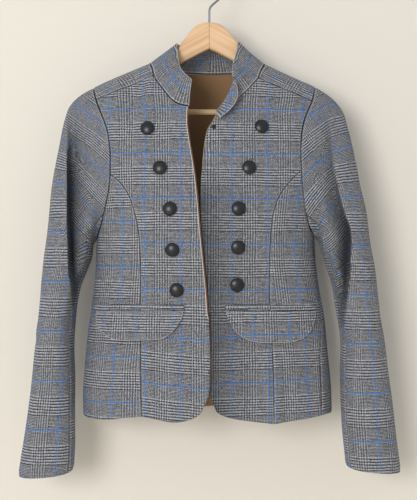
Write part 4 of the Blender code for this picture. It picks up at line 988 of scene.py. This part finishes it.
def pocket(side, materials):
    """Flap and the welt above it."""
    sides, rows = FLAP_SIDES[side], WELT[side]
    first, last = ("outer", "inner") if side == "right" else ("inner", "outer")
    left_line = outline(on_body(sides[first], sides[first + "_drop"]), FLAP_ROWS)
    right_line = outline(on_body(sides[last], sides[last + "_drop"]), FLAP_ROWS)
    top = outline([left_line[0], right_line[0]], POCKET_COLUMNS)
    grid = fill(left_line, right_line, top, xy_outline(FLAP_BOTTOM[side], POCKET_COLUMNS))
    laid_on("flap_" + side, grid, FLAP_CLOTH, body_cloth(grid, *FLAP_CHECK[side]), materials,
            FLAP_FLARE, "bottom left right")
    top = outline(on_body(rows["x"], rows["top"]), POCKET_COLUMNS)
    bottom = outline(on_body(rows["x"], rows["bottom"]), POCKET_COLUMNS)
    share = np.linspace(0, 1, 7)[:, None, None]
    grid = top * (1 - share) + bottom * share
    laid_on("welt_" + side, grid, WELT_CLOTH, body_cloth(grid, *WELT_CHECK), materials, 0, "")


def turned_piece(name, node, profile, segments, place, material):
    """Turned solid from a profile of radius and height, standing on the body at a place."""
    place = on_body(*place)
    normal = body_normal(*place)
    side = np.cross([0, 0, 1], normal)
    side /= np.linalg.norm(side)
    axes = np.stack([side, np.cross(normal, side), normal])
    foot = body_point(*place) + normal * ON_FACETS
    turn = np.linspace(0, 2 * math.pi, segments, endpoint=False)
    circle = np.stack([np.cos(turn), np.sin(turn), np.zeros(segments)], -1)
    rings = [(circle * radius + [0, 0, height]) @ axes + foot for radius, height in profile]
    rings_piece(name, node, rings, material, sharp=40.0)


def button_profile():
    """Shank, flat underside, rounded rim and a low dome."""
    radius = BUTTON_RADIUS
    profile = [(3.0, 0.0), (3.0, 1.6), (radius - 1.6, 1.8)]
    profile += [(radius - 1.0 + 1.0 * math.cos(turn), 3.0 + 1.1 * math.sin(turn))
                for turn in np.radians(np.linspace(-70, 60, 7))]
    dome = np.linspace(0.93, 0.03, 12)
    profile += [(radius * share, 4.0 + 3.7 * (1 - share ** 2) ** 0.8) for share in dome]
    return profile


# ---- hanger ----
def hanger_top(x):
    """Top of the wood: its own outline, and under the cloth where the shoulders lie on it."""
    own = smooth(abs(x), WOOD["x"], WOOD["top"])
    if abs(x) < 80:
        return own
    cloth = max(ridge_drop(np.array(abs(x))), ridge_drop(np.array(-abs(x))))
    return max(own, cloth + CLOTH + UNDER_CLOTH)


def rings_piece(name, node, rings, material, sharp=50.0):
    """Closed surface over rings of points, each ring closed."""
    count = len(rings[0])
    faces = [tuple(range(count))[::-1], tuple((len(rings) - 1) * count + k for k in range(count))]
    for ring in range(len(rings) - 1):
        for step in range(count):
            a, b = ring * count + step, ring * count + (step + 1) % count
            faces.append((a, b, b + count, a + count))
    piece = new_object(name, np.concatenate(rings), faces, [material], sharp=math.radians(sharp))
    dressed(piece, node)


def hanger_pieces():
    turns = np.radians(np.arange(0, 360, 10.0) + 5)
    across, up = (np.sign(wave) * np.abs(wave) ** 0.5 for wave in (np.cos(turns), np.sin(turns)))
    tip = np.array([163.8, 164.6, 165])
    rings = []
    for x in np.concatenate([-tip[::-1], np.linspace(-162, 162, 163), tip]):
        top, bottom = hanger_top(x), smooth(abs(x), WOOD["x"], WOOD["bottom"])
        blunt = 1 - 0.25 * np.clip((abs(x) - 162) / 3, 0, 1) ** 2
        rings.append(np.stack([np.full(len(turns), x), HANGER_HALF_THICKNESS * across * blunt,
                               -(top + bottom) / 2 + (bottom - top) / 2 * up * blunt], -1))
    rings_piece("hanger_wood_shaped", "hanger_wood", rings, wood_material("hanger_beech"))
    circle = np.radians(np.arange(0, 360, 10.0))
    rings = [np.stack([np.full(36, x), BAR_RADIUS * np.cos(circle),
                       -BAR_DROP + BAR_RADIUS * np.sin(circle)], -1)
             for x in (-BAR_SHOWN, -60, 60, BAR_SHOWN)]
    bar = plain_material("hanger_bar_beech", (0.66, 0.46, 0.24), 0.5, grain=0.12)
    rings_piece("hanger_bar_turned", "hanger_bar", rings, bar)
    wire = plain_material("hook_wire_steel", (0.27, 0.27, 0.30), 0.33, metallic=1.0)
    rings_piece("hanger_hook_bent", "hanger_hook", hook_rings(), wire)


def hook_rings():
    """Rings round the bent wire: a stem, a swan neck, and the hook's arc."""
    centre, slant = HOOK_WIRE - HOOK_RADIUS, math.sqrt(0.5)
    start, joint = np.array([0, STEM_HEAD]), np.array([0, centre]) + HOOK_RADIUS * slant * SWAN
    reach = 0.42 * np.linalg.norm(joint - start)
    bends = start, start + [0, reach], joint - slant * reach, joint
    share = np.linspace(0, 1, 25)[:, None]
    weights = ((1 - share) ** 3, 3 * (1 - share) ** 2 * share, 3 * (1 - share) * share ** 2,
               share ** 3)
    neck = sum(weight * bend for weight, bend in zip(weights, bends))
    turn = np.radians(np.linspace(-45, 190, 90))[1:]
    arc = np.stack([HOOK_RADIUS * np.cos(turn), centre + HOOK_RADIUS * np.sin(turn)], -1)
    route = np.concatenate([[[0, STEM_SHOWN]], neck, arc])
    circle = np.radians(np.arange(0, 360, 18.0))
    side, depth = HOOK_WIRE * np.cos(circle), HOOK_WIRE * np.sin(circle)
    return [np.stack([x - side * up, depth, z + side * over], -1)
            for (x, z), (over, up) in zip(route, unit(np.gradient(route, axis=0)))]


# ---- materials ----
class Nodes:
    """Short calls that add one node to a material each and give its output."""

    def __init__(self, name):
        self.material = bpy.data.materials.new(name)
        self.material.use_nodes = True
        self.tree = self.material.node_tree
        self.shader = self.tree.nodes["Principled BSDF"]

    def feed(self, socket, value):
        """Link an output to a socket, or set the socket; colours are given without alpha."""
        if isinstance(value, bpy.types.NodeSocket):
            self.tree.links.new(value, socket)
        elif value is not None:
            socket.default_value = (*value, 1) if isinstance(value, tuple) else value

    def add(self, kind, *values, out=0, **settings):
        node = self.tree.nodes.new("ShaderNode" + kind)
        for key, value in settings.items():
            setattr(node, key, value)
        for socket, value in zip(node.inputs, values):
            self.feed(socket, value)
        return node.outputs[out]

    def maths(self, operation, *values):
        return self.add("Math", *values, operation=operation)

    def plus(self, *values):
        return self.maths("ADD", *values)

    def minus(self, *values):
        return self.maths("SUBTRACT", *values)

    def times(self, *values):
        return self.maths("MULTIPLY", *values)

    def below(self, *values):
        return self.maths("LESS_THAN", *values)

    def mix(self, share, first, second):
        node = self.tree.nodes.new("ShaderNodeMix")
        node.data_type = "RGBA"
        for place, value in ((0, share), (6, first), (7, second)):
            self.feed(node.inputs[place], value)
        return node.outputs[2]

    def noise(self, vector, scale, detail=2.0):
        return self.add("TexNoise", vector, None, scale, detail)

    def ramp(self, value, *limits):
        """The value's place between the first two limits, moved to between the last two."""
        return self.add("MapRange", value, *limits)

    def split(self, vector):
        return self.add("SeparateXYZ", vector, out=slice(0, 3))

    def uv(self, name):
        return self.add("UVMap", uv_map=name)

    def set(self, **values):
        for name, value in values.items():
            self.feed(self.shader.inputs[name.replace("_", " ")], value)


def yarns(nodes, thread, repeat, bold):
    """Dark, bold and blue masks of the yarn at a thread number."""
    place = nodes.maths("FLOORED_MODULO", thread, repeat)
    off = nodes.maths("ABSOLUTE", nodes.minus(place, repeat / 2 - 0.5))
    in_bold = nodes.below(off, bold / 2)
    fours = nodes.below(nodes.maths("FLOORED_MODULO", place, 8.0), 3.5)
    twos = nodes.below(nodes.maths("FLOORED_MODULO", place, 4.0), 1.5)
    dark = nodes.plus(nodes.times(in_bold, fours), nodes.times(nodes.minus(1.0, in_bold), twos))
    return dark, in_bold, nodes.below(place, BLUE)


def band(nodes, value, start, end, soft=0.012):
    """1 where the value lies between the start and the end, with soft sides."""
    return nodes.times(nodes.ramp(value, start - soft, start + soft, 0.0, 1.0),
                       nodes.ramp(value, end - soft, end + soft, 1.0, 0.0))


def check_material(name, edging=()):
    """Glen check with a blue windowpane, woven thread by thread in a two and two twill."""
    nodes = Nodes(name)
    cloth = nodes.uv("cloth")
    threads = []
    for place, scale, wander, repeat, count in (
            (0, 26.0, 0.0022, REPEAT_ACROSS, THREADS_ACROSS),
            (1, 21.0, 0.0026, REPEAT_DOWN, THREADS_DOWN)):
        drift = nodes.times(nodes.minus(nodes.noise(cloth, scale, 1.0), 0.5), wander)
        drifted = nodes.plus(nodes.split(cloth)[place], drift)
        threads.append(nodes.maths("DIVIDE", drifted, repeat * MM / count))
    across, down = threads
    warp, weft = nodes.maths("FLOOR", across), nodes.maths("FLOOR", down)
    warp_dark, warp_bold, warp_blue = yarns(nodes, warp, THREADS_ACROSS, BOLD_ACROSS)
    weft_dark, weft_bold, weft_blue = yarns(nodes, weft, THREADS_DOWN, BOLD_DOWN)
    # which yarn lies on top; in the bold bands across, three wefts of four do
    twill = nodes.maths("FLOORED_MODULO", nodes.minus(warp, weft), 4.0)
    lone_weft = nodes.times(weft_bold, nodes.minus(1.0, warp_bold))
    lift = nodes.minus(nodes.minus(warp_blue, weft_blue), lone_weft)
    on_top = nodes.below(twill, nodes.plus(lift, 1.5))
    warp_colour, weft_colour = (
        nodes.mix(is_dark, nodes.mix(is_bold, GREY_YARN, bold_light), DARK_YARN)
        for is_dark, is_bold, bold_light in ((warp_dark, warp_bold, PALE_WARP),
                                             (weft_dark, weft_bold, PALE_WEFT)))
    colour = nodes.mix(on_top, weft_colour, warp_colour)
    for along, over, seed in ((across, down, 3.7), (down, across, 9.1)):
        slub = nodes.add("CombineXYZ", nodes.times(along, 0.05), nodes.times(over, 0.42), seed)
        uneven = nodes.noise(slub, 1.0)
        colour = nodes.mix(nodes.ramp(uneven, 0.45, 0.72, 0.0, 0.5), colour, SLUB)
    fuzz = nodes.noise(cloth, 640.0)
    colour = nodes.mix(nodes.ramp(fuzz, 0.47, 0.68, 0.0, 0.75), colour, DARK_FLECK)
    colour = nodes.mix(nodes.ramp(fuzz, 0.42, 0.28, 0.0, 0.20), colour, PALE_FLECK)
    colour = nodes.mix(nodes.times(nodes.noise(cloth, 90.0, 3.0), 0.20), colour, CLOUD)
    blue = nodes.plus(nodes.times(on_top, warp_blue),
                      nodes.times(nodes.minus(1.0, on_top), weft_blue))
    colour = nodes.mix(nodes.times(blue, 0.92), colour, BLUE_YARN)
    # painted highlight on the pressed ridge beside a seam, painted shade in the seam's groove, and
    # painted shade inside folds and beside an overlapping front edge
    sewn, cut, _ = nodes.split(nodes.uv("seams"))
    colour = nodes.mix(nodes.times(band(nodes, sewn, 0.15, 0.27, 0.04), 0.28), colour, PAINTED_RIDGE_HIGHLIGHT)
    colour = nodes.mix(nodes.times(band(nodes, sewn, -1.0, 0.05, 0.025), 0.93), colour, PAINTED_SEAM_SHADE)
    # painted shade from the third map, darkest deep in folds and beside an overlapping edge
    painted_shade_share = nodes.split(nodes.uv("painted_shade"))[0]
    colour = nodes.mix(nodes.times(painted_shade_share, 0.9), colour, PAINTED_SHADE_TONE)
    for start, end, strength, shade in edging:
        colour = nodes.mix(nodes.times(band(nodes, cut, start, end), strength), colour, shade)
    nodes.set(Base_Color=colour, Roughness=0.95, Sheen_Weight=0.05, Sheen_Roughness=0.5,
              Sheen_Tint=(0.7, 0.75, 0.85), Specular_IOR_Level=0.25)
    return nodes.material


def plain_material(name, colour, roughness, metallic=0.0, grain=0.0):
    nodes = Nodes(name)
    if grain:
        darker = tuple(value * (1 - grain) for value in colour)
        fuzz = nodes.noise(nodes.add("TexCoord", out=3), 900.0, 3.0)
        colour = nodes.mix(fuzz, darker, colour)
    nodes.set(Base_Color=colour, Roughness=roughness, Metallic=metallic)
    return nodes.material


def wood_material(name):
    """Pale beech whose grain runs down along both arms from a joint in the middle."""
    nodes = Nodes(name)
    x, y, z = nodes.split(nodes.add("TexCoord", out=3))
    out = nodes.maths("ABSOLUTE", x)
    over = nodes.plus(z, nodes.times(out, 0.55))
    apart = nodes.times(nodes.maths("SIGN", x), 3.0)
    grain = nodes.add("CombineXYZ", nodes.plus(nodes.times(out, 9.0), apart),
                      nodes.times(y, 60.0), nodes.times(over, 190.0))
    streaks = nodes.ramp(nodes.noise(grain, 1.0, 3.0), 0.3, 0.7, 0.0, 1.0)
    colour = nodes.mix(streaks, (0.61, 0.37, 0.185), (0.78, 0.52, 0.30))
    joint = nodes.times(nodes.below(out, 0.0005), 0.65)
    nodes.set(Base_Color=nodes.mix(joint, colour, (0.22, 0.10, 0.04)), Roughness=0.42,
              Coat_Weight=0.25, Coat_Roughness=0.3)
    return nodes.material


def linked(name, data):
    result = bpy.data.objects.new(name, data)
    bpy.context.scene.collection.objects.link(result)
    return result


# ---- staging ----
def stage_plane(name, corners, lets_light=False):
    """Plane that is clear from behind, and through which light may reach the object's back."""
    nodes = Nodes(name)
    nodes.set(Base_Color=STAGE_TONE, Roughness=0.95)
    clear = nodes.add("NewGeometry", out=6)
    if lets_light:
        clear = nodes.maths("MAXIMUM", clear, nodes.add("LightPath", out=1))
    shown = nodes.add("MixShader", clear, nodes.shader.outputs[0], nodes.add("BsdfTransparent"))
    nodes.feed(nodes.tree.nodes["Material Output"].inputs[0], shown)
    mesh = bpy.data.meshes.new(name)
    mesh.from_pydata(corners, [], [(0, 1, 2, 3)])
    mesh.materials.append(nodes.material)
    linked(name, mesh)


def area_light(name, place, size, power, colour):
    light = bpy.data.lights.new(name, "AREA")
    light.shape, light.size, light.energy, light.color = "DISK", size, power, colour
    lamp = linked(name, light)
    lamp.location = place
    lamp.rotation_mode = "QUATERNION"
    lamp.rotation_quaternion = (Vector(LIGHTS_AIM) - Vector(place)).to_track_quat("-Z", "Y")


def staging():
    scene = bpy.context.scene
    data = bpy.data.cameras.new("camera")
    data.sensor_fit, data.sensor_height = "VERTICAL", SENSOR
    data.lens = SENSOR / 2 / (HALF_VIEW / CAMERA_AWAY)
    scene.camera = linked("camera", data)
    scene.camera.location = (-0.00128, -CAMERA_AWAY, -0.4325)
    scene.camera.rotation_euler = (math.radians(90), 0, 0)
    wall = WALL * MM
    stage_plane("backdrop", [(-4, wall, FLOOR), (4, wall, FLOOR), (4, wall, 3), (-4, wall, 3)],
                lets_light=True)
    stage_plane("floor", [(-4, -5, FLOOR), (4, -5, FLOOR), (4, wall, FLOOR), (-4, wall, FLOOR)])
    area_light("key", (-1.35, -3.5, -0.1), 1.5, 73, (1.0, 0.98, 0.96))
    area_light("rear", (-0.8, 2.6, 0.3), 2.0, 44, (1.0, 1.0, 1.0))
    scene.world = bpy.data.worlds.new("studio")
    scene.world.use_nodes = True
    light, strength = scene.world.node_tree.nodes["Background"].inputs[:2]
    light.default_value = (0.97, 0.98, 1.0, 1)
    strength.default_value = 0.64
    scene.view_settings.view_transform = "Standard"


# ---- assembly ----
def main():
    check = check_material("check_cloth_weave")
    raw = dict(right=check_material("check_cloth_raw_edge", RAW_EDGE),
               left=check_material("check_cloth_thin_edge", THIN_EDGE))
    bound = check_material("check_cloth_bound_edge", BOUND_EDGE)
    reverse, cream, tan, drab, umber = (
        plain_material(name, colour, roughness, grain=0.3)
        for name, colour, roughness in (("reverse_cloth", (0.36, 0.215, 0.11), 0.95),
                                        ("edge_cream", (0.62, 0.52, 0.38), 0.9),
                                        ("edge_tan", (0.40, 0.19, 0.07), 0.9),
                                        ("edge_drab", (0.30, 0.24, 0.19), 0.9),
                                        ("edge_umber", (0.07, 0.035, 0.02), 0.9)))
    black = plain_material("button_black_dome", (0.006, 0.007, 0.009), 0.34)
    cloth = [check, reverse, cream, tan]
    lines = {side: fine_seams(side) for side in SIDES}
    for side in SIDES:
        body_piece("front_" + side, front_grid(side, lines[side]),
                   lambda grid: front_cloth(side, grid),
                   [raw[side], reverse, tan if side == "right" else umber, umber],
                   "top right", "left", lift_of=front_lift if side == "right" else None)
        body_piece("side_front_" + side, side_front_grid(lines[side]),
                   lambda grid: body_cloth(grid, 0, *SIDE_FRONT_CHECK[side]), cloth,
                   "top left right")
        sleeve_pieces(side, lines[side], cloth)
        pocket(side, [bound, reverse, drab, umber])
    grid, block = back_grid(lines["right"], lines["left"])
    body_piece("back", grid, back_cloth, [check, reverse, umber, umber],
               "top left right block", block=block, seed=2.0)
    collar_piece(lines["right"], lines["left"], [bound, bound, drab, umber])
    for side in SIDES:
        for number, place in enumerate(zip(*BUTTONS[side].values()), 1):
            turned_piece(f"button_{side}_{number}_dome", f"button_{side}_{number}",
                         button_profile(), 48, place, black)
    turned_piece("neck_snap_cap", "neck_snap", SNAP_PROFILE, 32, SNAP_PLACE, black)
    hanger_pieces()
    staging()


main()
